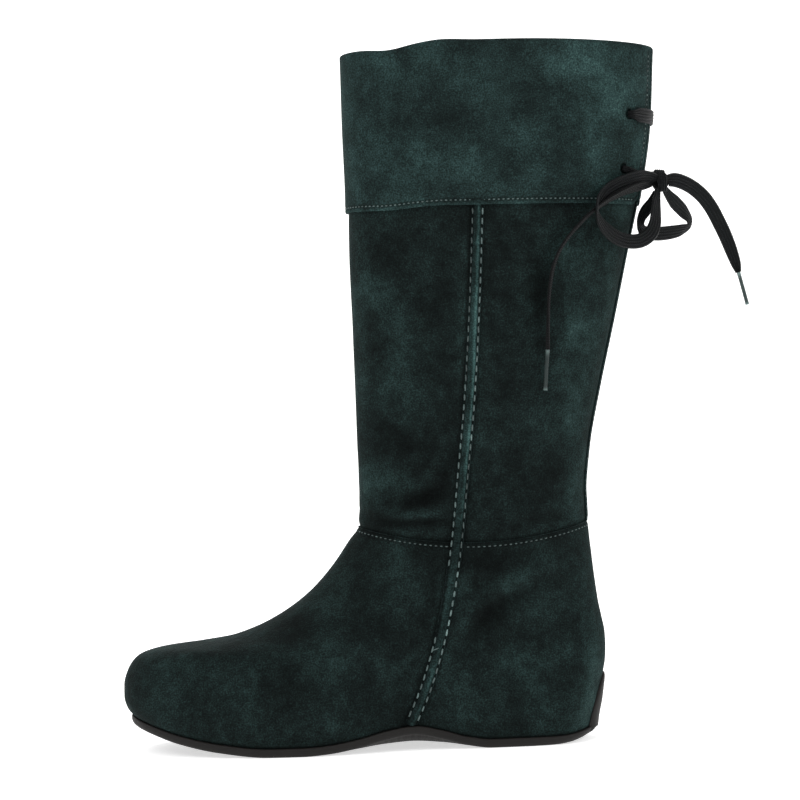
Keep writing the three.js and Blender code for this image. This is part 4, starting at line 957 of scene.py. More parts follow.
def sew(name, centres, alongs, outs, length, thickness, dip, material, seed, tones=None, sizes=None):
    """Copies of one stitch at places on the leather, each a little different, as one piece."""
    tones = np.ones(len(centres)) if tones is None else tones
    sizes = np.ones(len(centres)) if sizes is None else sizes
    model = stitch_shape(length, thickness, dip)
    mesh = model.data
    points = np.array([v.co for v in mesh.vertices]) / MM
    faces = [list(p.vertices) for p in mesh.polygons]
    chance = np.random.default_rng(seed)
    all_points = []
    all_faces = []
    twist = []
    for i, (centre, along, out) in enumerate(zip(centres, alongs, outs)):
        along = unit(along - out * (along @ out))
        across = np.cross(out, along)
        lean = math.radians(chance.normal(3, 3))
        tilted = along * math.cos(lean) + across * math.sin(lean)
        beside = np.cross(out, tilted)
        size = 1 + chance.normal(0, 0.05)
        local = points * np.array([size, sizes[i], sizes[i]])
        placed = centre + local @ np.stack([tilted, beside, out])
        all_points.append(placed)
        all_faces.extend([[k + i * len(points) for k in face] for face in faces])
        angle = np.arctan2(points[:, 2], points[:, 1]) / (2 * math.pi)
        twist.append(points[:, 0] / thickness / 1.6 + angle)
    bpy.data.objects.remove(model)
    mesh = bpy.data.meshes.new(name)
    mesh.from_pydata((np.concatenate(all_points) * MM).tolist(), [], all_faces)
    turn = mesh.attributes.new("twist", "FLOAT", "POINT")
    turn.data.foreach_set("value", np.concatenate(twist).astype(np.float32))
    shade = mesh.attributes.new("tone", "FLOAT", "POINT")
    uneven = tones * np.exp(chance.normal(0, 0.22, len(tones)))
    shade.data.foreach_set("value", np.repeat(uneven, len(points)).astype(np.float32))
    piece = bpy.data.objects.new(name, mesh)
    bpy.context.scene.collection.objects.link(piece)
    mesh.polygons.foreach_set("use_smooth", [True] * len(mesh.polygons))
    dress(piece, material)
    return finish_piece(piece, "braid")


def even_steps(points, pitch, offset=0.5):
    """Shares of a line of points at even distances, and the line's length."""
    steps = np.linalg.norm(np.diff(points, axis=0), axis=1)
    run = np.concatenate([[0], np.cumsum(steps)])
    count = max(1, int(run[-1] // pitch))
    wanted = (np.arange(count) + offset) * (run[-1] / count)
    return np.interp(wanted, run, np.arange(len(points))), run


def on_line(values, at):
    low = np.clip(at.astype(int), 0, len(values) - 2)
    part = (at - low)[:, None]
    return values[low] * (1 - part) + values[low + 1] * part


def ankle_stitches(thread):
    sizes = bpy.context.scene.boot_sizes
    angle = np.linspace(0, 2 * math.pi, 720)
    seam = upper_point(angle, np.full(angle.shape, float(SEAM_LEVEL)))[:, 2]
    level = level_at_height(angle, seam - 1.9)
    relief, _ = upper_relief(angle, level)
    line = upper_offset(angle, level, lap(level) + relief + 0.1)
    out = upper_normal(angle, level)
    at, _ = even_steps(line, sizes.ankle_pitch / MM)
    centre = on_line(line, at)
    along = on_line(np.gradient(line, axis=0), at)
    normal = unit(on_line(out, at))
    # The side strips cover the seam
    keep = np.ones(len(centre), bool)
    for side in (1, -1):
        strip_x = HEEL_SETBACK - FOOT_LENGTH * float(table_curve(SIDE_STRIP, 1)(0.36))
        near_side = centre[:, 1] * side < 0
        keep &= ~(near_side & (np.abs(centre[:, 0] - strip_x) < STRIP_WIDTH * 0.62))
    sizes_mm = (sizes.ankle_pitch / MM * 0.6, sizes.thin_thread / MM, 0.3)
    tones = np.full(int(keep.sum()), 0.6)
    return sew("ankle_stitches", centre[keep], along[keep], normal[keep], *sizes_mm, thread, 3, tones)


def cuff_stitches(thread):
    sizes = bpy.context.scene.boot_sizes
    end = FAR_FLAP + 2 * math.pi
    span = CUFF_HEIGHT
    lines = []
    angle = np.linspace(angle_along_rim(NEAR_FLAP, 6), angle_along_rim(end, -6), 900)
    rim = rim_height(angle)
    bottom = SHAFT_TOP - CUFF_HEIGHT + (rim - SHAFT_TOP) * CUFF_CROWN
    z = bottom + 2.5
    off = GAP + CUFF_THICKNESS + cuff_wave(angle, rim - z, span) - 0.2
    lines.append(shaft_point(angle, z, off))
    for edge, way in ((NEAR_FLAP, 1), (end, -1)):
        beside = angle_along_rim(edge, way * 2.6)
        drop = np.linspace(3.0, CUFF_HEIGHT - 6, 300)
        angle = np.full(drop.shape, beside)
        rim = rim_height(angle)
        off = GAP + CUFF_THICKNESS + cuff_wave(angle, drop, span) - 0.2
        lines.append(shaft_point(angle, rim - drop, off))
    centres, alongs, outs = [], [], []
    for line in lines:
        at, _ = even_steps(line, sizes.cuff_pitch / MM)
        centre = on_line(line, at)
        outward = on_line(line, at) - np.array([-10, 0, 0])
        angle = np.arctan2(-centre[:, 1], centre[:, 0] + 6)
        level = level_at_height(angle % (2 * math.pi), centre[:, 2])
        centres.append(centre)
        alongs.append(on_line(np.gradient(line, axis=0), at))
        outs.append(cuff_out(centre, outward))
    sizes_mm = (sizes.cuff_pitch / MM * 0.6, sizes.thin_thread / MM, 0.3)
    parts = (np.concatenate(centres), np.concatenate(alongs), np.concatenate(outs))
    return sew("cuff_stitches", *parts, *sizes_mm, thread, 5, np.full(len(parts[0]), 0.75))


def cuff_out(points, rough):
    """Way out of the cuff at points on it, from the shaft's oval at their height."""
    grid = np.linspace(0, 2 * math.pi, 361)
    result = []
    for point in points:
        level = level_at_height(grid, np.full(grid.shape, point[2]))
        ring = upper_point(grid, level)
        nearest = np.argmin(np.linalg.norm(ring[:, :2] - point[:2], axis=1))
        result.append(upper_normal(grid[nearest:nearest + 1], level[nearest:nearest + 1])[0])
    return np.array(result)


# Strips
def strip_line(side):
    run_at = table_curve(SIDE_STRIP, 1)
    lowest = HEEL_SETBACK - FOOT_LENGTH * float(run_at(0))
    foot = float(sole_top(lowest)) + STRIP_FOOT_CLEARANCE
    top = SHAFT_TOP - CUFF_HEIGHT + 3.0
    up = np.linspace(0, 1, 540)
    x = HEEL_SETBACK - FOOT_LENGTH * run_at(up * (top - foot) / (SHAFT_TOP - CUFF_HEIGHT - GAP - foot))
    z = mix(foot, top, up)
    across = unit(np.stack([np.gradient(z), -np.gradient(x)], -1))
    return up, x, z, across


def strip_place(side, u, x, z, across):
    """Angle and level at a share of the strip's half width from its middle."""
    at_x = x[:, None] + u[None, :] * across[:, :1] * STRIP_WIDTH / 2
    at_z = z[:, None] + u[None, :] * across[:, 1:] * STRIP_WIDTH / 2
    at_z = np.maximum(at_z, sole_top(at_x) + STRIP_FOOT_CLEARANCE)
    return place_on_side(at_x, at_z, side)


def strip_base(angle, level, up):
    """How far the strip's underside lies off the plain upper: it bridges the hollow of the arch."""
    over = SEAM_STEP * np.clip(1 - np.abs(level - SEAM_LEVEL), 0, 1)
    relief, _ = upper_relief(angle, level)
    hollow = HOLLOW_CLEARANCE * np.clip(1 - up / HOLLOW_REACH, 0, 1)[:, None]
    return np.maximum(lap(level), over) + relief + hollow


def stitch_phase(x, z, pitch):
    run = np.concatenate([[0], np.cumsum(np.hypot(np.diff(x), np.diff(z)))])
    count = round(run[-1] / pitch)
    return run / run[-1] * count


def build_side_strip(side, name, node, suede, thread):
    sizes = bpy.context.scene.boot_sizes
    up, x, z, across = strip_line(side)
    u = np.linspace(-1, 1, 33)
    angle, level = strip_place(side, u, x, z, across)
    base = strip_base(angle, level, up)
    phase = stitch_phase(x, z, sizes.strip_pitch / MM)
    pull = np.cos(2 * math.pi * phase)[:, None]
    # The ridge leans back over its back row above the ankle, and forwards over its front row below it
    lean = 0.1 + 0.2 * smooth_step((z - 96) / 20) * smooth_step((215 - z) / 20)
    lean = lean - 0.42 * smooth_step((z - 52) / 10) * smooth_step((97 - z) / 10)
    ridge = np.clip(np.cos(math.pi / 2 * (u[None, :] - lean[:, None]) * 0.86), 0, 1) ** 0.8
    # Between two stitches the edge swells, and at a stitch's middle it is drawn down
    channel = np.exp(-((np.abs(u) - 0.74) / 0.16) ** 2)
    height = 0.25 + STRIP_RISE * ridge * (1 + 0.06 * pull)
    height = height - channel[None, :] * (0.42 + 0.18 * pull)
    pit = channel[None, :] * np.clip(-pull, 0, 1) ** 6
    height = height - 0.35 * pit
    edge = np.abs(u) > 0.95
    height[:, edge] = 0.12
    outer = upper_offset(angle, level, base + height)
    inner = upper_offset(angle, level, base + 0.02)[:, ::-1]
    swell = (0.16 * -pull) * np.clip((np.abs(u) - 0.7) / 0.3, 0, 1)[None, :] * np.sign(u)[None, :]
    shift = np.stack([across[:, 0], np.zeros(len(x)), across[:, 1]], -1)
    outer = outer + swell[..., None] * shift[:, None, :]
    table = np.concatenate([outer, inner[:, 1:-1], outer[:, :1]], axis=1)
    # Painted highlight along the ridge, strongest high up and near the foot, painted shade in the channels and pits
    # of the stitches, and a painted shadow along the front edge
    crest_highlight = 0.1 + 0.6 * smooth_step((z - 110) / 50) + 0.3 * smooth_step((50 - z) / 14)
    tone = 1.5 * crest_highlight[:, None] * np.exp(-((u[None, :] - lean[:, None] - 0.1) / 0.24) ** 2) - 0.12
    tone = tone - 0.85 * channel[None, :] - 0.9 * pit
    tone[:, u < -0.9] -= 0.9
    tone = np.exp(tone)
    shade = np.concatenate([tone, np.full((len(x), inner.shape[1] - 2), 0.8), tone[:, :1]], axis=1)
    for end in (0, -1):
        cap = table[end:end + 1 if end == 0 else None].copy()
        back = cap[:, ::-1][:, :u.size]
        middle = (outer[end] + inner[end][::-1]) / 2
        flat = np.concatenate([middle, middle[::-1][1:-1], middle[:1]])[None]
        table = np.concatenate([flat, table]) if end == 0 else np.concatenate([table, flat])
        shade = np.concatenate([shade[:1], shade]) if end == 0 else np.concatenate([shade, shade[-1:]])
    piece, _ = new_grid(name, table, shade)
    close_seams(piece)
    dress(piece, suede)
    finish_piece(piece, "suede", node)
    # Thick stitches in the two channels
    centres, alongs, outs = [], [], []
    tones, thickness = [], []
    for share in (-0.76, 0.76):
        row_angle, row_level = strip_place(side, np.array([share]), x, z, across)
        crown = np.clip(np.cos(math.pi / 2 * (share - lean) * 0.86), 0, 1) ** 0.8
        lift = (0.25 + STRIP_RISE * crown - 0.42 + 0.12)[:, None]
        line = upper_offset(row_angle, row_level, strip_base(row_angle, row_level, up) + lift)[:, 0]
        normal = upper_normal(row_angle, row_level)[:, 0]
        at = np.interp(np.arange(1, int(phase[-1])), phase, np.arange(len(phase)))
        height_at = np.interp(at, np.arange(len(z)), z)
        if share < 0:
            # Hidden by the ridge below the ankle, and in its shade higher up
            at = at[(height_at < 58) | (height_at > 92)]
            height_at = np.interp(at, np.arange(len(z)), z)
            tone_at = mix(0.85, 0.5, smooth_step((height_at - 180) / 14))
            thick_at = mix(1.0, 0.8, smooth_step((height_at - 180) / 14))
        else:
            # The ridge leans forward below the ankle and lays this row open: thicker, with a painted highlight; above
            # the ankle it leans over the row: thinner, in painted shade
            below = smooth_step((height_at - 54) / 6) * smooth_step((96 - height_at) / 6)
            ankle = smooth_step((height_at - 96) / 6) * smooth_step((158 - height_at) / 12)
            tone_at = 0.8 + 0.45 * below - 0.3 * ankle
            thick_at = 0.95 + 0.25 * below - 0.25 * ankle
        tones.append(tone_at)
        thickness.append(thick_at)
        centres.append(on_line(line, at))
        alongs.append(on_line(np.gradient(line, axis=0), at))
        outs.append(unit(on_line(normal, at)))
    if side > 0:
        # The thread's cut end lies across the ridge
        angle, level = place_on_side(np.array([-46.0]), np.array([52.6]), side)
        centres.append(upper_offset(angle, level, strip_base(angle, level, np.array([0.2]))[0] + STRIP_RISE + 0.45))
        alongs.append(np.array([[1.0, 0.0, 0.3]]))
        outs.append(upper_normal(angle, level))
        tones.append(np.array([0.9]))
        thickness.append(np.array([0.6]))
    parts = (np.concatenate(centres), np.concatenate(alongs), np.concatenate(outs))
    sizes_mm = (sizes.strip_pitch / MM * 0.76, sizes.thick_thread / MM, 0.5)
    marks = (np.concatenate(tones), np.concatenate(thickness))
    return sew(f"{name}_stitches", *parts, *sizes_mm, thread, 11 + side, *marks)


def build_back_strip(suede, thread):
    sizes = bpy.context.scene.boot_sizes
    top = SHAFT_TOP - CUFF_HEIGHT + 3.0
    seam = float(upper_point(np.array([0.0]), float(SEAM_LEVEL))[0, 2]) + 0.5
    z = np.linspace(seam, top, 330)
    levels = level_at_height(np.zeros(z.shape), z)
    u = np.linspace(-1, 1, 25)

    def place(share):
        aside = BACK_STRIP_SIDE + share[None, :] * BACK_STRIP_WIDTH / 2
        full = (SECTION["side"](levels) * SECTION["heel"](levels))[:, None]
        level = np.broadcast_to(levels[:, None], (len(levels), share.size))
        return np.arcsin(aside / full), level

    angle, level = place(u)
    relief, _ = upper_relief(angle, level)
    height = 0.15 + BACK_STRIP_RISE * (1 - 0.35 * u ** 2)
    height = height - 0.3 * np.exp(-((np.abs(u) - 0.7) / 0.14) ** 2)
    height[[0, -1]] = 0.1
    outer = upper_offset(angle, level, relief + GAP * 0.5 + height[None, :])
    inner = upper_offset(angle, level, relief + np.full(angle.shape, 0.05))[:, ::-1]
    table = np.concatenate([outer, inner[:, 1:-1], outer[:, :1]], axis=1)
    ends = []
    for end in (0, -1):
        middle = (outer[end] + inner[end][::-1]) / 2
        ends.append(np.concatenate([middle, middle[::-1][1:-1], middle[:1]])[None])
    table = np.concatenate([ends[0], table, ends[1]])
    # Painted highlight along the crown, and painted shade in the channels of the stitches, at the edges and
    # underneath
    tone = 0.25 * np.exp(-(u / 0.6) ** 2) - 0.5 * np.exp(-((np.abs(u) - 0.7) / 0.14) ** 2)
    tone[[0, -1]] = -0.8
    shade = np.exp(np.concatenate([tone, np.full(u.size - 2, -0.5), tone[:1]]))
    piece, _ = new_grid("back_seam_strip", table, np.tile(shade, (len(table), 1)))
    close_seams(piece)
    dress(piece, suede)
    finish_piece(piece, "suede", "back_strip")
    centres, alongs, outs = [], [], []
    for share in (-0.7, 0.7):
        row_angle, row_level = place(np.array([share]))
        row_relief, _ = upper_relief(row_angle, row_level)
        line = upper_offset(row_angle, row_level, row_relief + 0.95)[:, 0]
        normal = upper_normal(row_angle, row_level)[:, 0]
        at, _ = even_steps(line, sizes.ankle_pitch / MM)
        centres.append(on_line(line, at))
        alongs.append(on_line(np.gradient(line, axis=0), at))
        outs.append(unit(on_line(normal, at)))
    parts = (np.concatenate(centres), np.concatenate(alongs), np.concatenate(outs))
    sizes_mm = (sizes.ankle_pitch / MM * 0.6, sizes.thin_thread / MM, 0.3)
    return sew("back_strip_stitches", *parts, *sizes_mm, thread, 17, np.full(len(parts[0]), 0.6))


# Sole
def build_sole():
    looks = bpy.context.scene.boot_colours
    columns = 420
    angle = np.linspace(0, 2 * math.pi, columns + 1)
    spine = upper_point(angle, 0.0)
    s = (1 - np.cos(angle)) / 2
    spine[:, 1] = TOE_SWING * s * s

    def edge_round(x):
        return mix(HEEL_ROUND, EDGE_ROUND, smooth_step((HEEL_SETBACK - x) / (FOOT_LENGTH / 6)))

    edge = print_point(angle, np.full(angle.shape, SOLE_LEDGE), 0)
    radius = edge_round(edge[:, 0])
    rise = np.minimum(radius, SOLE_THICKNESS - EDGE_ROUND / 4)
    inner_edge = print_point(angle, SOLE_LEDGE - radius, 0)
    rows = []
    for share in np.linspace(0, 1, 26)[:-1]:
        # The waist of the sole is full in the middle, below its raised edges
        ring = mix(spine, inner_edge, share)
        waist = ARCH_RISE * arch_rise_at(np.clip((HEEL_SETBACK - ring[:, 0]) / FOOT_LENGTH, 0, 1))
        ring[:, 2] = sole_bottom(ring[:, 0]) - 0.68 * waist * (1 - share ** 4)
        rows.append(ring)
    first_band = len(rows)
    for turn in np.linspace(0, math.pi / 2, 9):
        ring = print_point(angle, SOLE_LEDGE - radius * (1 - math.sin(turn)), 0)
        ring[:, 2] = sole_bottom(ring[:, 0]) + rise * (1 - math.cos(turn))
        rows.append(ring)
    for inward, height in ((0.0, -0.7), (0.12, -0.25), (0.45, 0.0), (1.2, 0.02), (2.4, 0.02), (8.0, 0.0)):
        rows.append(print_point(angle, np.full(angle.shape, SOLE_LEDGE - inward), height))
    last = rows[-1]
    for share in (0.35, 0.7, 1.0):
        ring = mix(last, spine, share)
        ring[:, 2] = sole_top(ring[:, 0])
        rows.append(ring)
    piece, face_row = new_grid("rubber_sole", np.stack(rows))
    band = rubber_material("moulded_rubber", looks.rubber, False)
    tread = rubber_material("rubber_tread", looks.rubber, True)
    dress(piece, band, tread, faces=face_row < first_band)
    close_seams(piece)
    finish_piece(piece, "rubber", "outsole")
    return build_tab(band)


def build_tab(material):
    """Wrap tab up the back of the heel, moulded with the sole."""
    top_level = float(level_at_height(np.array([0.0]), float(sole_top(HEEL_SETBACK)) + TAB_HEIGHT)[0])
    side_angle = math.asin(TAB_WIDTH / 2 / (HALF_BALL * float(outer_print(0))))
    u = np.linspace(-1, 1, 49)
    v = np.linspace(0, 1, 45)
    shoulder = np.sqrt(np.maximum(0, 1 - np.abs(u) ** 2.4))
    level = v[:, None] * top_level * mix(0.12, 1, shoulder)[None, :]
    angle = np.broadcast_to((u * side_angle)[None, :], level.shape)
    thin = np.sqrt(np.clip(1 - np.abs(u) ** 8, 0, 1))[None, :] * np.sqrt(np.clip(1 - v ** 14, 0, 1))[:, None]
    wedge = mix(1.75, 0.75, v ** 0.8)[:, None]
    far = TAB_THICKNESS * wedge * mix(1, 0.55, u ** 4)[None, :] * (0.12 + 0.88 * thin)
    outer = upper_offset(angle, level, GAP + far)
    inner = upper_offset(angle, level, np.full(angle.shape, 0.1))
    # Below the suede it runs into the rounded back of the sole
    lower, lower_inner = [], []
    for at_side, at_middle, height in ((-2.6, -1.7, -4.1), (-0.6, 1.2, -3.3), (0.9, 2.6, -2.1)):
        lower.append(print_point(u * side_angle, mix(at_side, at_middle, 1 - u ** 4), height))
        lower_inner.append(print_point(u * side_angle, np.full(u.shape, at_side - 1.2), height))
    outer = np.concatenate([np.stack(lower), outer])
    inner = np.concatenate([np.stack(lower_inner), inner])
    back = inner[:, ::-1]
    table = np.concatenate([outer, back[:, 1:-1], outer[:, :1]], axis=1)
    ends = []
    for end in (0, -1):
        middle = (outer[end] + inner[end]) / 2
        ends.append(np.concatenate([middle, middle[::-1][1:-1], middle[:1]])[None])
    piece, _ = new_grid("heel_tab", np.concatenate([ends[0], table, ends[1]]))
    close_seams(piece)
    dress(piece, material)
    return finish_piece(piece, "rubber", "outsole")


def build_insole():
    columns = 300
    angle = np.linspace(0, 2 * math.pi, columns + 1)
    base = GAP + WALL + GAP
    edge = upper_offset(angle, np.zeros(angle.shape), np.full(angle.shape, -WALL - INSOLE_CLEARANCE))
    s = (1 - np.cos(angle)) / 2
    spine = edge.copy()
    spine[:, 0] = upper_point(angle, 0.0)[:, 0] * 0.985
    spine[:, 1] = TOE_SWING * s * s
    rows = []
    for share in np.linspace(0, 0.985, 12):
        ring = mix(spine, edge, share)
        ring[:, 2] = sole_top(ring[:, 0]) + base
        rows.append(ring)
    for share, drop in ((1.0, 0.4), (1.0, INSOLE_THICKNESS - 0.5), (0.985, INSOLE_THICKNESS)):
        ring = mix(spine, edge, share)
        ring[:, 2] = sole_top(ring[:, 0]) + base + drop
        rows.append(ring)
    for share in np.linspace(0.94, 0, 14):
        ring = mix(spine, edge, share)
        dish = 0.8 * (1 - share ** 2)
        ring[:, 2] = sole_top(ring[:, 0]) + base + INSOLE_THICKNESS - dish
        rows.append(ring)
    piece, _ = new_grid("footbed", np.stack(rows))
    close_seams(piece)
    dress(piece, lining_material())
    return finish_piece(piece, "lining", "insole")


# Lace
def smooth_route(points, values, step=1.1):
    """A smooth line through the points at even steps, with the values carried along it."""
    points = np.asarray(points, float)
    chords = np.linalg.norm(np.diff(points, axis=0), axis=1) ** 0.5
    knots = np.concatenate([[0], np.cumsum(chords)])
    fine = np.linspace(0, knots[-1], 60 * len(points))
    first = 2 * points[0] - points[1]
    final = 2 * points[-1] - points[-2]
    padded = np.concatenate([[first], points, [final]])
    k = np.concatenate([[knots[0] - chords[0]], knots, [knots[-1] + chords[-1]]])
    i = np.clip(np.searchsorted(knots, fine, side="right") - 1, 0, len(points) - 2)
    t = fine[:, None]
    p = [padded[i + j] for j in range(4)]
    q = [k[i + j][:, None] for j in range(4)]
    a1 = (q[1] - t) / (q[1] - q[0]) * p[0] + (t - q[0]) / (q[1] - q[0]) * p[1]
    a2 = (q[2] - t) / (q[2] - q[1]) * p[1] + (t - q[1]) / (q[2] - q[1]) * p[2]
    a3 = (q[3] - t) / (q[3] - q[2]) * p[2] + (t - q[2]) / (q[3] - q[2]) * p[3]
    b1 = (q[2] - t) / (q[2] - q[0]) * a1 + (t - q[0]) / (q[2] - q[0]) * a2
    b2 = (q[3] - t) / (q[3] - q[1]) * a2 + (t - q[1]) / (q[3] - q[1]) * a3
    line = (q[2] - t) / (q[2] - q[1]) * b1 + (t - q[1]) / (q[2] - q[1]) * b2
    run = np.concatenate([[0], np.cumsum(np.linalg.norm(np.diff(line, axis=0), axis=1))])
    count = max(4, round(run[-1] / step))
    even = np.linspace(0, run[-1], count + 1)
    at = np.interp(even, run, fine)
    result = np.stack([np.interp(even, run, line[:, axis]) for axis in range(3)], -1)
    carried = [smooth_curve(knots, value)(at) for value in values]
    return result, carried, run[-1]


def lace_section(sides=27):
    """Outline of the flat braid: a across it from -1 to 1, and b out of it from -1 to 1."""
    a = np.linspace(-1, 1, sides)
    ribs = 1 - 0.3 * (0.5 + 0.5 * np.cos(2 * math.pi * 2.5 * (a + 1)))
    b = np.sqrt(np.clip(1 - np.abs(a) ** 5, 0, 1)) * ribs
    across = np.concatenate([a, a[::-1][1:-1], a[:1]])
    out = np.concatenate([b, -b[::-1][1:-1], b[:1]])
    return across, out


def braid_table(centres, across, outs, widths, thickness):
    a, b = lace_section()
    widths = np.asarray(widths)[:, None, None]
    thick = np.asarray(thickness)[:, None, None]
    table = centres[:, None, :] + a[None, :, None] * across[:, None, :] * widths / 2
    full = table + b[None, :, None] * outs[:, None, :] * thick / 2
    first = table[:1] - unit(centres[1:2] - centres[:1])[:, None, :] * 0.2
    last = table[-1:] + unit(centres[-1:] - centres[-2:-1])[:, None, :] * 0.2
    return np.concatenate([first, full, last])


def turned_frames(line, turn):
    """Ways across and out of the braid, which shows its face to the side of the boot at 0."""
    along = unit(np.gradient(line, axis=0))
    level = unit(np.cross(along, np.array([0.0, 1.0, 0.0])))
    beside = np.cross(level, along)
    turn = np.radians(turn)[:, None]
    across = np.cos(turn) * level + np.sin(turn) * beside
    return across, np.cross(along, across)


def free_lace(name, route, turn, widths, node, material, tone=1.0):
    """One loop or free end of the lace, flat, with its route as a cord's."""
    sizes = bpy.context.scene.boot_sizes
    line, (turns, wide), length = smooth_route(route, [turn, widths])
    across, out = turned_frames(line, turns)
    # A braid drawn together is thicker
    full = sizes.lace_width / MM
    thick = sizes.lace_thickness / MM * (1 + 0.9 * np.clip(1 - wide / full, 0, 1))
    table = braid_table(line, across, out, wide, thick)
    piece, _ = new_grid(name, table, np.full(table.shape[:2], tone))
    close_seams(piece)
    dress(piece, material)
    finish_piece(piece, "braid", node)
    return piece, line, length


def laid_lace(name, stations, node, material):
    """Lace that lies on the cuff, through stations of centre, across, out and width."""
    centres = np.array([s[0] for s in stations])
    across = np.array([s[1] for s in stations])
    out = np.array([s[2] for s in stations])
    values = [*across.T, *out.T, np.array([s[3] for s in stations])]
    line, carried, _ = smooth_route(centres, values, 0.8)
    across = unit(np.stack(carried[0:3], -1))
    along = unit(np.gradient(line, axis=0))
    across = unit(across - along * (across * along).sum(axis=1, keepdims=True))
    out = np.cross(along, across)
    wide = carried[6]
    sizes = bpy.context.scene.boot_sizes
    full = sizes.lace_width / MM
    thick = sizes.lace_thickness / MM * (1 + 0.6 * np.clip(1 - wide / full, 0, 1))
    piece, _ = new_grid(name, braid_table(line, across, out, wide, thick))
    close_seams(piece)
    dress(piece, material)
    return finish_piece(piece, "braid", node)


def station(angle, drop, distance, width, turned=None):
    centre, out, around, up = (v[0] for v in cuff_frame(np.array([angle]), drop, distance))
    if turned is not None:
        return centre, up, around * turned, width
    return centre, up, out, width


def build_lace():
    sizes = bpy.context.scene.boot_sizes
    looks = bpy.context.scene.boot_colours
    material = braid_material(looks.lace)
    full = sizes.lace_width / MM
    lift = GAP + sizes.lace_thickness / MM / 2
    # Bar across the slit, drawn into the upper pair of holes
    start = angle_along_rim(NEAR_HOLE, -6)
    end = angle_along_rim(FAR_HOLE, 6)
    bar = [station(NEAR_HOLE, UPPER_HOLES, -0.9, LACE_GATHER, -1)]
    bar += [station(mix(NEAR_HOLE, start, t), UPPER_HOLES, lift, mix(LACE_GATHER, full, t)) for t in (0.25, 0.6)]
    bar += [station(mix(start, end, t), UPPER_HOLES, lift, full) for t in np.linspace(0, 1, 9)]
    bar += [station(mix(FAR_HOLE, end, t), UPPER_HOLES, lift, mix(LACE_GATHER, full, t)) for t in (0.6, 0.25)]
    bar += [station(FAR_HOLE, UPPER_HOLES, -0.9, LACE_GATHER, 1)]
    laid_lace("bar_across_slit", bar, "lace_bar", material)
    # Leads out of the lower pair of holes, to the knot
    broad = mix(LACE_GATHER, full, 0.4)
    for name, hole, edge, last in (
        ("lace_lead_near", NEAR_HOLE, NEAR_FLAP, NEAR_LEAD_END),
        ("lace_lead_far", FAR_HOLE, angle_along_rim(0, -2), FAR_LEAD_END),
    ):
        lead = [station(hole, LOWER_HOLES, -0.9, LACE_GATHER, math.copysign(1, edge - hole))]
        for t in (0.15, 0.4, 0.7, 1.0):
            width = mix(LACE_GATHER, broad, t)
            drop = LEAD_DROP * t * (2.2 if edge == NEAR_FLAP else 1)
            lead.append(station(mix(hole, edge, t), LOWER_HOLES + drop, lift, width))
        lead.append((np.array(last), lead[-1][1], lead[-1][2], LACE_GATHER))
        laid_lace(name.replace("lace_", ""), lead, name, material)
    # Knot: the lace wrapped once round a gathered core
    middle = np.array(KNOT_PLACE, float)
    wrap_turn = np.linspace(-0.2, 2 * math.pi + 0.9, 40)
    wrap = np.stack([
        middle[0] + np.linspace(-0.6, 0.9, 40),
        middle[1] - 3.5 * np.cos(wrap_turn),
        middle[2] + 0.3 + 5.1 * np.sin(wrap_turn),
    ], -1)
    along = unit(np.gradient(wrap, axis=0))
    side = np.tile(unit(np.array([1.0, -0.2, -0.12])), (40, 1))
    side = unit(side - along * (side * along).sum(axis=1, keepdims=True))
    wrap_width = 6.2 * (0.45 + 0.55 * np.sqrt(np.sin(np.linspace(0, math.pi, 40)).clip(0)))
    table = braid_table(wrap, side, np.cross(along, side), wrap_width, np.full(40, 1.7))
    knot, _ = new_grid("knot_wrap", table)
    close_seams(knot)
    dress(knot, material)
    finish_piece(knot, "braid", "lace_knot")
    core = knot_core(middle)
    dress(core, material)
    finish_piece(core, "braid", "lace_knot")
    # Loops and free ends
    gather = [0.55, 0.75, 0.95]
    near_width = [full * w for w in gather + [1.0] * 12 + gather[::-1]]
    far_width = [full * w for w in gather + [1.0] * 9 + gather[::-1]]
    near, near_line, near_length = free_lace(
        "near_loop", NEAR_LOOP, NEAR_LOOP_TURN, near_width, "lace_loop_near", material)
    far, far_line, far_length = free_lace(
        "far_loop", FAR_LOOP, FAR_LOOP_TURN, far_width, "lace_loop_far", material)
    far_end_width = [full * w for w in [0.85, 1, 1, 1, 1, 1, 1, 0.96, 0.88, 0.7, 0.42]]
    far_end, far_end_line, far_end_length = free_lace(
        "far_end", FAR_END, FAR_END_TURN, far_end_width, "lace_end_far", material)
    near_route = [(x, y - 2.2 * min(1, i / 3), z) for i, (x, y, z) in enumerate(NEAR_END)]
    near_end_width = [full * w for w in [0.55, 0.75, 0.95] + [1.0] * 10 + [0.85, 0.6, 0.4]]
    # The near end is drawn at half lightness: painted shade, for it stands on edge in the shade beside the shaft
    near_end, near_end_line, near_end_length = free_lace(
        "near_end", near_route, NEAR_END_TURN, near_end_width, "lace_end_near", material, 0.5)
    near_tip = build_aglet("near_tip", "aglet_near", [(x, y - 2.2, z) for x, y, z in NEAR_AGLET], 0.8)
    far_tip = build_aglet("far_tip", "aglet_far", FAR_AGLET, 1.3)
    knot_pieces = [knot, core]


def knot_core(middle):
    """Gathered lace inside the knot."""
    bpy.ops.object.select_all(action="DESELECT")
    bpy.ops.mesh.primitive_uv_sphere_add(segments=32, ring_count=20, radius=1.0)
    core = bpy.context.object
    core.name = "knot_core"
    for vertex in core.data.vertices:
        x, y, z = vertex.co
        fold = 1 + 0.08 * math.sin(5 * math.atan2(y, z) + 2 * x)
        vertex.co = Vector(middle * MM) + Vector((x * 4.6, y * 3.0 * fold, z * 5.0 * fold)) * MM
    smooth(core, 60)
    return core


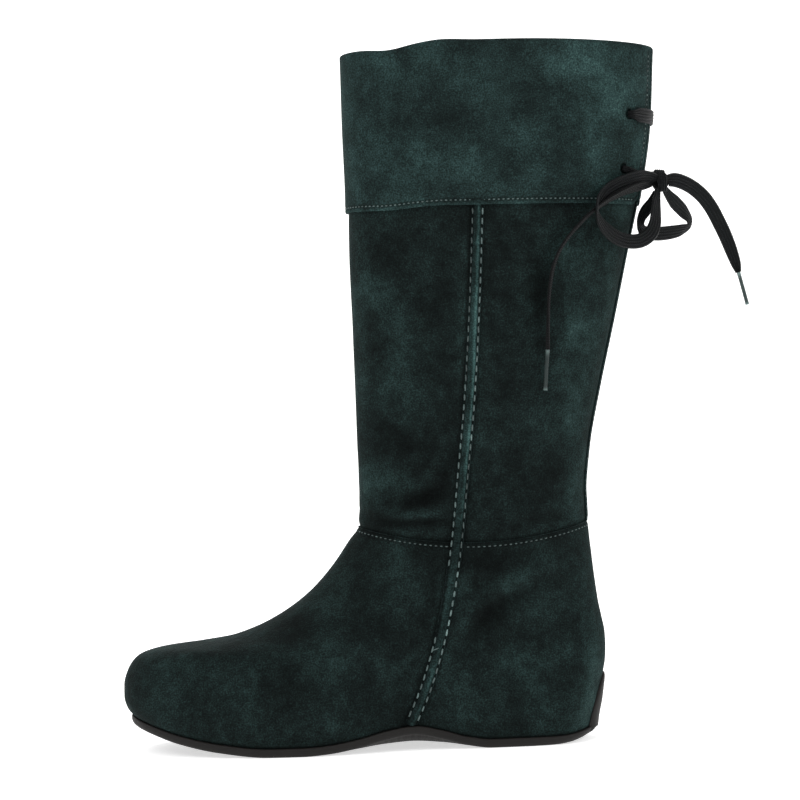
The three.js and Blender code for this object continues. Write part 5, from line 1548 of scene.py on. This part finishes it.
def build_aglet(name, node, points, tone):
    """A short tube of clear plastic shrunk round the end of the braid."""
    line, _, length = smooth_route(points, [], 0.7)
    along = unit(np.gradient(line, axis=0))
    across = unit(np.cross(along, np.array([0.0, 1.0, 0.0])))
    out = np.cross(along, across)
    turn = np.linspace(0, 2 * math.pi, 21)
    share = np.linspace(0, 1, len(line))
    radius = AGLET_WIDTH / 2 * (0.92 + 0.12 * np.exp(-(share / 0.08) ** 2) + 0.1 * np.exp(-((share - 1) / 0.06) ** 2))
    ring = np.cos(turn)[None, :, None] * across[:, None, :] + np.sin(turn)[None, :, None] * out[:, None, :]
    table = line[:, None, :] + ring * radius[:, None, None]
    cap_low = np.repeat((line[0] - along[0] * 0.6)[None, None, :], 21, axis=1)
    cap_high = np.repeat((line[-1] + along[-1] * 0.1)[None, None, :], 21, axis=1)
    # Painted highlights at both ends, where the plastic is thick
    pale = tone * (1 + 3 * np.exp(-(share / 0.1) ** 2) + 4 * np.exp(-((share - 1) / 0.05) ** 2))
    pale = np.concatenate([pale[:1], pale, pale[-1:]])
    piece, _ = new_grid(name, np.concatenate([cap_low, table, cap_high]), np.tile(pale[:, None], (1, 21)))
    close_seams(piece)
    dress(piece, clear_plastic_material())
    return finish_piece(piece, "clear_plastic", node)


# Materials
def start_material(name):
    """A new material with its shader and its node tree."""
    material = bpy.data.materials.new(name)
    material.use_nodes = True
    tree = material.node_tree
    tree.nodes.clear()
    output = tree.nodes.new("ShaderNodeOutputMaterial")
    shader = tree.nodes.new("ShaderNodeBsdfPrincipled")
    tree.links.new(shader.outputs["BSDF"], output.inputs["Surface"])
    return material, tree, shader


def add(tree, kind, settings=None, inputs=None):
    """Adds a node. inputs holds a value or an output for each of its sockets."""
    node = tree.nodes.new(kind)
    for name, value in (settings or {}).items():
        setattr(node, name, value)
    for key, value in (inputs or {}).items():
        if isinstance(value, bpy.types.NodeSocket):
            tree.links.new(value, node.inputs[key])
        else:
            node.inputs[key].default_value = value
    return node


def suede_material(name, dark, light, nap, marks=1.0):
    """Napped suede: split leather, buffed and dyed. No gloss; brushed patches, and fibres that catch light."""
    sizes = bpy.context.scene.boot_sizes
    material, tree, shader = start_material(name)
    place = add(tree, "ShaderNodeTexCoord")
    at = place.outputs["Object"]
    # Each layer of the nap: size, detail, and how strongly it lightens or darkens, in stops.
    # The real fibres are 0.2 mm wide; the grain is drawn at 0.8 mm so that it shows
    layers = (
        (sizes.nap_patch, 2.0, 3.0), (sizes.nap_mark, 2.0, 1.25 * marks),
        (sizes.nap_mark * 0.4, 2.0, 0.85 * marks), (sizes.nap_grain, 1.0, 3.9),
    )
    stops = None
    noises = []
    for size, detail, strength in layers:
        noise = add(tree, "ShaderNodeTexNoise", None, {
            "Vector": at, "Scale": 1 / size, "Detail": detail, "Roughness": 0.5})
        noises.append(noise.outputs["Fac"])
        spread = add(tree, "ShaderNodeMath", {"operation": "MULTIPLY_ADD"}, {
            0: noise.outputs["Fac"], 1: strength, 2: -0.5 * strength})
        if stops is None:
            stops = spread.outputs[0]
        else:
            stops = add(tree, "ShaderNodeMath", {"operation": "ADD"}, {0: stops, 1: spread.outputs[0]}).outputs[0]
    lightness = add(tree, "ShaderNodeMath", {"operation": "POWER"}, {0: 2.0, 1: stops})
    tone = add(tree, "ShaderNodeAttribute", {"attribute_name": "tone"})
    toned = add(tree, "ShaderNodeMath", {"operation": "MULTIPLY"}, {0: lightness.outputs[0], 1: tone.outputs["Fac"]})
    # Lighter places, both the nap's own patches and the painted highlights, take the paler, bluer colour
    light_share = add(tree, "ShaderNodeMapRange", None, {
        "Value": toned.outputs[0], "From Min": 0.55, "From Max": 1.7})
    colour = add(tree, "ShaderNodeMix", {"data_type": "RGBA"}, {
        "Factor": light_share.outputs["Result"], "A": tuple(dark), "B": tuple(light)})
    shaded = add(tree, "ShaderNodeVectorMath", {"operation": "SCALE"}, {
        0: colour.outputs["Result"], "Scale": toned.outputs[0]})
    fine = add(tree, "ShaderNodeBump", None, {"Height": noises[3], "Strength": 0.6, "Distance": 0.0005})
    soft = add(tree, "ShaderNodeBump", None, {
        "Height": noises[1], "Strength": 0.4, "Distance": 0.001, "Normal": fine.outputs["Normal"]})
    tree.links.new(shaded.outputs[0], shader.inputs["Base Color"])
    tree.links.new(soft.outputs["Normal"], shader.inputs["Normal"])
    shader.inputs["Roughness"].default_value = 0.95
    shader.inputs["Specular IOR Level"].default_value = 0.08
    shader.inputs["Sheen Weight"].default_value = 0.09
    shader.inputs["Sheen Roughness"].default_value = 0.3
    shader.inputs["Sheen Tint"].default_value = tuple(nap)
    return material


def lining_material():
    """Woven textile lining: matt, with a close weave."""
    looks = bpy.context.scene.boot_colours
    material, tree, shader = start_material("woven_lining")
    place = add(tree, "ShaderNodeTexCoord")
    # Threads 0.9 mm apart
    warp = add(tree, "ShaderNodeTexWave", {"bands_direction": "X"}, {
        "Vector": place.outputs["UV"], "Scale": 350.0, "Distortion": 0.6, "Detail": 1.0})
    weft = add(tree, "ShaderNodeTexWave", {"bands_direction": "Y"}, {
        "Vector": place.outputs["UV"], "Scale": 350.0, "Distortion": 0.6, "Detail": 1.0})
    weave = add(tree, "ShaderNodeMath", {"operation": "MULTIPLY"}, {0: warp.outputs["Fac"], 1: weft.outputs["Fac"]})
    bump = add(tree, "ShaderNodeBump", None, {"Height": weave.outputs[0], "Strength": 0.5, "Distance": 0.0003})
    dark = tuple(c * 0.7 for c in looks.lining[:3]) + (1.0,)
    colour = add(tree, "ShaderNodeMix", {"data_type": "RGBA"}, {
        "Factor": weave.outputs[0], "A": dark, "B": tuple(looks.lining)})
    tree.links.new(colour.outputs["Result"], shader.inputs["Base Color"])
    tree.links.new(bump.outputs["Normal"], shader.inputs["Normal"])
    shader.inputs["Roughness"].default_value = 0.9
    return material


def rubber_material(name, base, ribbed):
    """Moulded black rubber: a low satin gloss over a fine matt skin, ribbed under the foot."""
    material, tree, shader = start_material(name)
    place = add(tree, "ShaderNodeTexCoord")
    skin = add(tree, "ShaderNodeTexNoise", None, {
        "Vector": place.outputs["Object"], "Scale": 1500.0, "Detail": 2.0, "Roughness": 0.6})
    dust = add(tree, "ShaderNodeTexNoise", None, {
        "Vector": place.outputs["Object"], "Scale": 90.0, "Detail": 4.0, "Roughness": 0.65})
    light = tuple(min(1.0, c * 1.5) for c in tuple(base)[:3]) + (1.0,)
    colour = add(tree, "ShaderNodeMix", {"data_type": "RGBA"}, {
        "Factor": dust.outputs["Fac"], "A": tuple(base), "B": light})
    bump = add(tree, "ShaderNodeBump", None, {"Height": skin.outputs["Fac"], "Strength": 0.3, "Distance": 0.0002})
    if ribbed:
        # Ribs 3.5 mm apart across the sole
        ribs = add(tree, "ShaderNodeTexWave", {"bands_direction": "X"}, {
            "Vector": place.outputs["Object"], "Scale": 90.0, "Distortion": 0.0})
        bump = add(tree, "ShaderNodeBump", None, {
            "Height": ribs.outputs["Fac"], "Strength": 0.9, "Distance": 0.0009, "Normal": bump.outputs["Normal"]})
    tree.links.new(colour.outputs["Result"], shader.inputs["Base Color"])
    tree.links.new(bump.outputs["Normal"], shader.inputs["Normal"])
    shader.inputs["Roughness"].default_value = 0.6
    shader.inputs["Specular IOR Level"].default_value = 0.15
    return material


def braid_material(base):
    """Flat braided cotton lace: matt black, its strands plaited slantwise with ribs along it."""
    material, tree, shader = start_material("braided_cotton")
    place = add(tree, "ShaderNodeTexCoord")
    height = None
    # Strands 0.9 mm apart, slanting both ways
    for slant in (0.75, -0.75):
        turned = add(tree, "ShaderNodeMapping", None, {
            "Vector": place.outputs["UV"], "Rotation": (0.0, 0.0, slant)})
        strand = add(tree, "ShaderNodeTexWave", {"bands_direction": "X"}, {
            "Vector": turned.outputs["Vector"], "Scale": 340.0, "Distortion": 0.3})
        if height is None:
            height = strand.outputs["Fac"]
        else:
            height = add(tree, "ShaderNodeMath", {"operation": "MAXIMUM"}, {0: height, 1: strand.outputs["Fac"]}).outputs[0]
    wear = add(tree, "ShaderNodeTexNoise", None, {
        "Vector": place.outputs["Object"], "Scale": 500.0, "Detail": 3.0})
    # Ribs 1.5 mm apart run along the braid; the strands on their crests get a painted highlight, patchy with wear,
    # and the grooves between them stay dark
    rib = add(tree, "ShaderNodeTexWave", {"bands_direction": "X"}, {
        "Vector": place.outputs["UV"], "Scale": 207.0, "Distortion": 0.2})
    crest = add(tree, "ShaderNodeMath", {"operation": "POWER"}, {0: rib.outputs["Fac"], 1: 2.0})
    crest_highlight = add(tree, "ShaderNodeMath", {"operation": "MULTIPLY"}, {0: height, 1: wear.outputs["Fac"]})
    both = add(tree, "ShaderNodeMath", {"operation": "MULTIPLY"}, {0: crest_highlight.outputs[0], 1: crest.outputs[0]})
    light = tuple(min(1.0, c * 3.8) for c in tuple(base)[:3]) + (1.0,)
    colour = add(tree, "ShaderNodeMix", {"data_type": "RGBA"}, {
        "Factor": both.outputs[0], "A": tuple(base), "B": light})
    tone = add(tree, "ShaderNodeAttribute", {"attribute_name": "tone"})
    shaded = add(tree, "ShaderNodeVectorMath", {"operation": "SCALE"}, {
        0: colour.outputs["Result"], "Scale": tone.outputs["Fac"]})
    plait = add(tree, "ShaderNodeBump", None, {"Height": height, "Strength": 0.8, "Distance": 0.0003})
    bump = add(tree, "ShaderNodeBump", None, {
        "Height": rib.outputs["Fac"], "Strength": 0.9, "Distance": 0.0004, "Normal": plait.outputs["Normal"]})
    tree.links.new(shaded.outputs[0], shader.inputs["Base Color"])
    tree.links.new(bump.outputs["Normal"], shader.inputs["Normal"])
    shader.inputs["Roughness"].default_value = 0.5
    shader.inputs["Specular IOR Level"].default_value = 0.14
    return material


def thread_material(base):
    """Twisted polyester sewing thread, paler than the suede, with a slight gloss."""
    material, tree, shader = start_material("twisted_thread")
    twist = add(tree, "ShaderNodeAttribute", {"attribute_name": "twist"})
    turn = add(tree, "ShaderNodeMath", {"operation": "MULTIPLY"}, {0: twist.outputs["Fac"], 1: 6.2832})
    strand = add(tree, "ShaderNodeMath", {"operation": "SINE"}, {0: turn.outputs[0]})
    dark = tuple(c * 0.6 for c in tuple(base)[:3]) + (1.0,)
    share = add(tree, "ShaderNodeMath", {"operation": "MULTIPLY_ADD"}, {0: strand.outputs[0], 1: 0.35, 2: 0.65})
    strands = add(tree, "ShaderNodeMix", {"data_type": "RGBA"}, {
        "Factor": share.outputs[0], "A": dark, "B": tuple(base)})
    tone = add(tree, "ShaderNodeAttribute", {"attribute_name": "tone"})
    colour = add(tree, "ShaderNodeVectorMath", {"operation": "SCALE"}, {
        0: strands.outputs["Result"], "Scale": tone.outputs["Fac"]})
    bump = add(tree, "ShaderNodeBump", None, {"Height": strand.outputs[0], "Strength": 0.5, "Distance": 0.0001})
    tree.links.new(colour.outputs[0], shader.inputs["Base Color"])
    tree.links.new(bump.outputs["Normal"], shader.inputs["Normal"])
    shader.inputs["Roughness"].default_value = 0.55
    return material


def clear_plastic_material():
    """Clear acetate tip shrunk over the dark braid: smoky, with a hard gloss."""
    looks = bpy.context.scene.boot_colours
    material, tree, shader = start_material("clear_acetate_tip")
    place = add(tree, "ShaderNodeTexCoord")
    streak = add(tree, "ShaderNodeTexNoise", None, {
        "Vector": place.outputs["Object"], "Scale": 500.0, "Detail": 2.0})
    pale = tuple(min(1.0, c * 1.8) for c in looks.aglet[:3]) + (1.0,)
    colour = add(tree, "ShaderNodeMix", {"data_type": "RGBA"}, {
        "Factor": streak.outputs["Fac"], "A": tuple(looks.aglet), "B": pale})
    tone = add(tree, "ShaderNodeAttribute", {"attribute_name": "tone"})
    shaded = add(tree, "ShaderNodeVectorMath", {"operation": "SCALE"}, {
        0: colour.outputs["Result"], "Scale": tone.outputs["Fac"]})
    tree.links.new(shaded.outputs[0], shader.inputs["Base Color"])
    shader.inputs["Roughness"].default_value = 0.3
    shader.inputs["Specular IOR Level"].default_value = 0.1
    shader.inputs["Coat Weight"].default_value = 0.06
    shader.inputs["Coat Roughness"].default_value = 0.12
    return material


# Settings
def length_setting(name, description, default):
    return bpy.props.FloatProperty(name=name, description=description, default=default, min=0.0001, unit="LENGTH")


def colour_setting(name, description, code):
    return bpy.props.FloatVectorProperty(
        name=name, description=description, default=srgb(code), size=4, min=0.0, max=1.0, subtype="COLOR")


class BootSizes(bpy.types.PropertyGroup):
    """Sizes of the boot's finish."""

    ankle_pitch: length_setting("Ankle stitch", "Distance from stitch to stitch at the ankle seam", 0.00275)
    cuff_pitch: length_setting("Cuff stitch", "Distance from stitch to stitch along the cuff", 0.00245)
    strip_pitch: length_setting("Strip stitch", "Distance from stitch to stitch on the side strips", 0.005)
    thin_thread: length_setting("Thin thread", "Thickness of the seams' thread", 0.00062)
    thick_thread: length_setting("Thick thread", "Thickness of the side strips' thread", 0.00092)
    lace_width: length_setting("Lace width", "Width of the flat braided lace", 0.0076)
    lace_thickness: length_setting("Lace thickness", "Thickness of the flat braided lace", 0.0015)
    nap_patch: length_setting("Nap patches", "Size of the brushed patches of the suede", 0.022)
    nap_mark: length_setting("Brush marks", "Width of the brush marks of the suede", 0.0055)
    nap_grain: length_setting("Nap grain", "Width of the grain of the suede", 0.00075)


class BootColours(bpy.types.PropertyGroup):
    """Colours of the boot."""

    suede_dark: colour_setting("Suede, dark", "Dark patches of the suede", "#121a19")
    suede_light: colour_setting("Suede, light", "Light patches of the suede", "#131e1d")
    suede_nap: colour_setting("Nap", "Sheen of the raised nap", "#9fc2bf")
    cuff_dark: colour_setting("Cuff, dark", "Dark patches of the cuff", "#1b2726")
    cuff_light: colour_setting("Cuff, light", "Light patches of the cuff", "#1c2b2a")
    strip_dark: colour_setting("Strip, dark", "Dark patches of the side strips", "#182423")
    strip_light: colour_setting("Strip, light", "Light patches of the side strips", "#1a2928")
    thread: colour_setting("Thread", "Sewing thread", "#566a68")
    rubber: colour_setting("Rubber", "Sole", "#1a1918")
    lining: colour_setting("Lining", "Inside of the shaft and the insole", "#2b2f2f")
    lace: colour_setting("Lace", "Braided lace", "#0d0f10")
    aglet: colour_setting("Lace tip", "Clear tips of the lace", "#28302f")


# Stage
def build_studio():
    floor_z = 0.0
    bpy.ops.object.select_all(action="DESELECT")
    bpy.ops.mesh.primitive_grid_add(x_subdivisions=2, y_subdivisions=200, size=24.0)
    floor = bpy.context.object
    floor.name = "studio_floor"
    bend_start, bend_radius = 1.6, 0.9
    for vertex in floor.data.vertices:
        y = vertex.co.y - 6.5
        over = max(0.0, y - bend_start)
        angle = min(over / bend_radius, math.pi / 2)
        rest = max(0.0, over - bend_radius * math.pi / 2)
        vertex.co.y = min(y, bend_start) + bend_radius * math.sin(angle)
        vertex.co.z = floor_z + bend_radius * (1 - math.cos(angle)) + rest
    smooth(floor, 60)
    material, tree, shader = start_material("studio_paper")
    shader.inputs["Base Color"].default_value = srgb("#f4f4f4")
    shader.inputs["Roughness"].default_value = 0.9
    shader.inputs["Specular IOR Level"].default_value = 0.1
    shader.inputs["Emission Color"].default_value = (1.0, 1.0, 1.0, 1.0)
    shader.inputs["Emission Strength"].default_value = 0.6
    dress(floor, material)
    scene = bpy.context.scene
    scene.view_settings.view_transform = "Standard"
    world = bpy.data.worlds.new("studio_world")
    world.use_nodes = True
    # White near the horizon, and dimmer overhead
    tree = world.node_tree
    way = add(tree, "ShaderNodeTexCoord")
    parts = add(tree, "ShaderNodeSeparateXYZ", None, {0: way.outputs["Generated"]})
    sky = add(tree, "ShaderNodeMapRange", {"interpolation_type": "SMOOTHSTEP"}, {
        "Value": parts.outputs["Z"], "From Min": 0.12, "From Max": 0.26, "To Min": 1.0, "To Max": 0.28})
    background = tree.nodes["Background"]
    background.inputs["Color"].default_value = (1.0, 1.0, 1.0, 1.0)
    tree.links.new(sky.outputs["Result"], background.inputs["Strength"])
    scene.world = world
    middle = Vector((-0.04, 0, 0.16))
    for name, place, size, power in (
        ("key_light", (-1.1, -1.5, 1.7), 1.3, 20.0),
        ("side_light", (1.5, -0.9, 1.1), 1.2, 11.0),
        ("top_light", (-0.2, 0.3, 2.1), 1.6, 16.0),
    ):
        bpy.ops.object.light_add(type="AREA", location=place)
        light = bpy.context.object
        light.name = name
        light.data.size = size
        light.data.energy = power
        light.rotation_euler = (middle - Vector(place)).to_track_quat("-Z", "Y").to_euler()
    place_camera()


def place_camera():
    """Camera at the photograph's angle: level with the shaft, a little below the middle, slightly rolled."""
    spot = Vector((-0.097557, -1.449503, 0.2100))
    target = Vector((-0.0596, 0.0, 0.1803))
    roll = math.radians(-1.6)
    ahead = (target - spot).normalized()
    right = ahead.cross(Vector((0, 0, 1))).normalized()
    up = right.cross(ahead)
    tilted_right = right * math.cos(roll) + up * math.sin(roll)
    tilted_up = up * math.cos(roll) - right * math.sin(roll)
    turned = Matrix([tilted_right, tilted_up, -ahead]).transposed()
    lens = bpy.data.cameras.new("photo_camera")
    lens.lens = 124.31
    lens.sensor_width = 36.0
    camera = bpy.data.objects.new("photo_camera", lens)
    camera.matrix_world = Matrix.Translation(spot) @ turned.to_4x4()
    bpy.context.scene.collection.objects.link(camera)
    bpy.context.scene.camera = camera


# Operators
class BOOT_OT_studio(bpy.types.Operator):
    """Add the floor, the lights and the camera"""

    bl_idname = "boot.studio"
    bl_label = "Studio"

    def execute(self, context):
        build_studio()
        return {"FINISHED"}


class BOOT_OT_lace(bpy.types.Operator):
    """Lay the flat lace through its holes and tie its bow"""

    bl_idname = "boot.lace"
    bl_label = "Lace"

    def execute(self, context):
        build_lace()
        return {"FINISHED"}


class BOOT_OT_upper(bpy.types.Operator):
    """Build the foot part and the shaft with their creases"""

    bl_idname = "boot.upper"
    bl_label = "Upper"

    def execute(self, context):
        build_upper()
        return {"FINISHED"}


class BOOT_OT_cuff(bpy.types.Operator):
    """Build the turned-over cuff with its slit and its holes"""

    bl_idname = "boot.cuff"
    bl_label = "Cuff"

    def execute(self, context):
        build_cuff()
        return {"FINISHED"}


class BOOT_OT_strips(bpy.types.Operator):
    """Build the side strips and the back strip"""

    bl_idname = "boot.strips"
    bl_label = "Strips"

    def execute(self, context):
        looks = context.scene.boot_colours
        suede = suede_material("strip_suede", looks.strip_dark, looks.strip_light, looks.suede_nap)
        thread = thread_material(looks.thread)
        build_side_strip(1, "outer_strip", "side_strip_outer", suede, thread)
        build_side_strip(-1, "inner_strip", "side_strip_inner", suede, thread)
        build_back_strip(suede, thread)
        return {"FINISHED"}


class BOOT_OT_stitches(bpy.types.Operator):
    """Sew the ankle seam and the cuff's edges"""

    bl_idname = "boot.stitches"
    bl_label = "Stitches"

    def execute(self, context):
        thread = thread_material(context.scene.boot_colours.thread)
        ankle_stitches(thread)
        cuff_stitches(thread)
        return {"FINISHED"}


class BOOT_OT_sole(bpy.types.Operator):
    """Build the outsole with its heel tab, and the insole"""

    bl_idname = "boot.sole"
    bl_label = "Sole"

    def execute(self, context):
        build_sole()
        build_insole()
        return {"FINISHED"}


STEPS = (
    BOOT_OT_studio, BOOT_OT_lace, BOOT_OT_upper, BOOT_OT_cuff, BOOT_OT_strips, BOOT_OT_stitches, BOOT_OT_sole,
)


class BOOT_PT_panel(bpy.types.Panel):
    """Steps and settings of the boot"""

    bl_label = "Boot"
    bl_idname = "BOOT_PT_panel"
    bl_space_type = "VIEW_3D"
    bl_region_type = "UI"
    bl_category = "Boot"

    def draw(self, context):
        for step in STEPS:
            self.layout.operator(step.bl_idname)
        for group in (context.scene.boot_sizes, context.scene.boot_colours):
            for name in group.__annotations__:
                self.layout.prop(group, name)


CLASSES = (BootSizes, BootColours, *STEPS, BOOT_PT_panel)


def register():
    for kind in CLASSES:
        bpy.utils.register_class(kind)
    bpy.types.Scene.boot_sizes = bpy.props.PointerProperty(type=BootSizes)
    bpy.types.Scene.boot_colours = bpy.props.PointerProperty(type=BootColours)


def unregister():
    del bpy.types.Scene.boot_colours
    del bpy.types.Scene.boot_sizes
    for kind in reversed(CLASSES):
        bpy.utils.unregister_class(kind)


def main():
    register()
    bpy.ops.boot.studio()
    bpy.ops.boot.lace()
    bpy.ops.boot.upper()
    bpy.ops.boot.cuff()
    bpy.ops.boot.strips()
    bpy.ops.boot.stitches()
    bpy.ops.boot.sole()


if __name__ == "__main__":
    main()
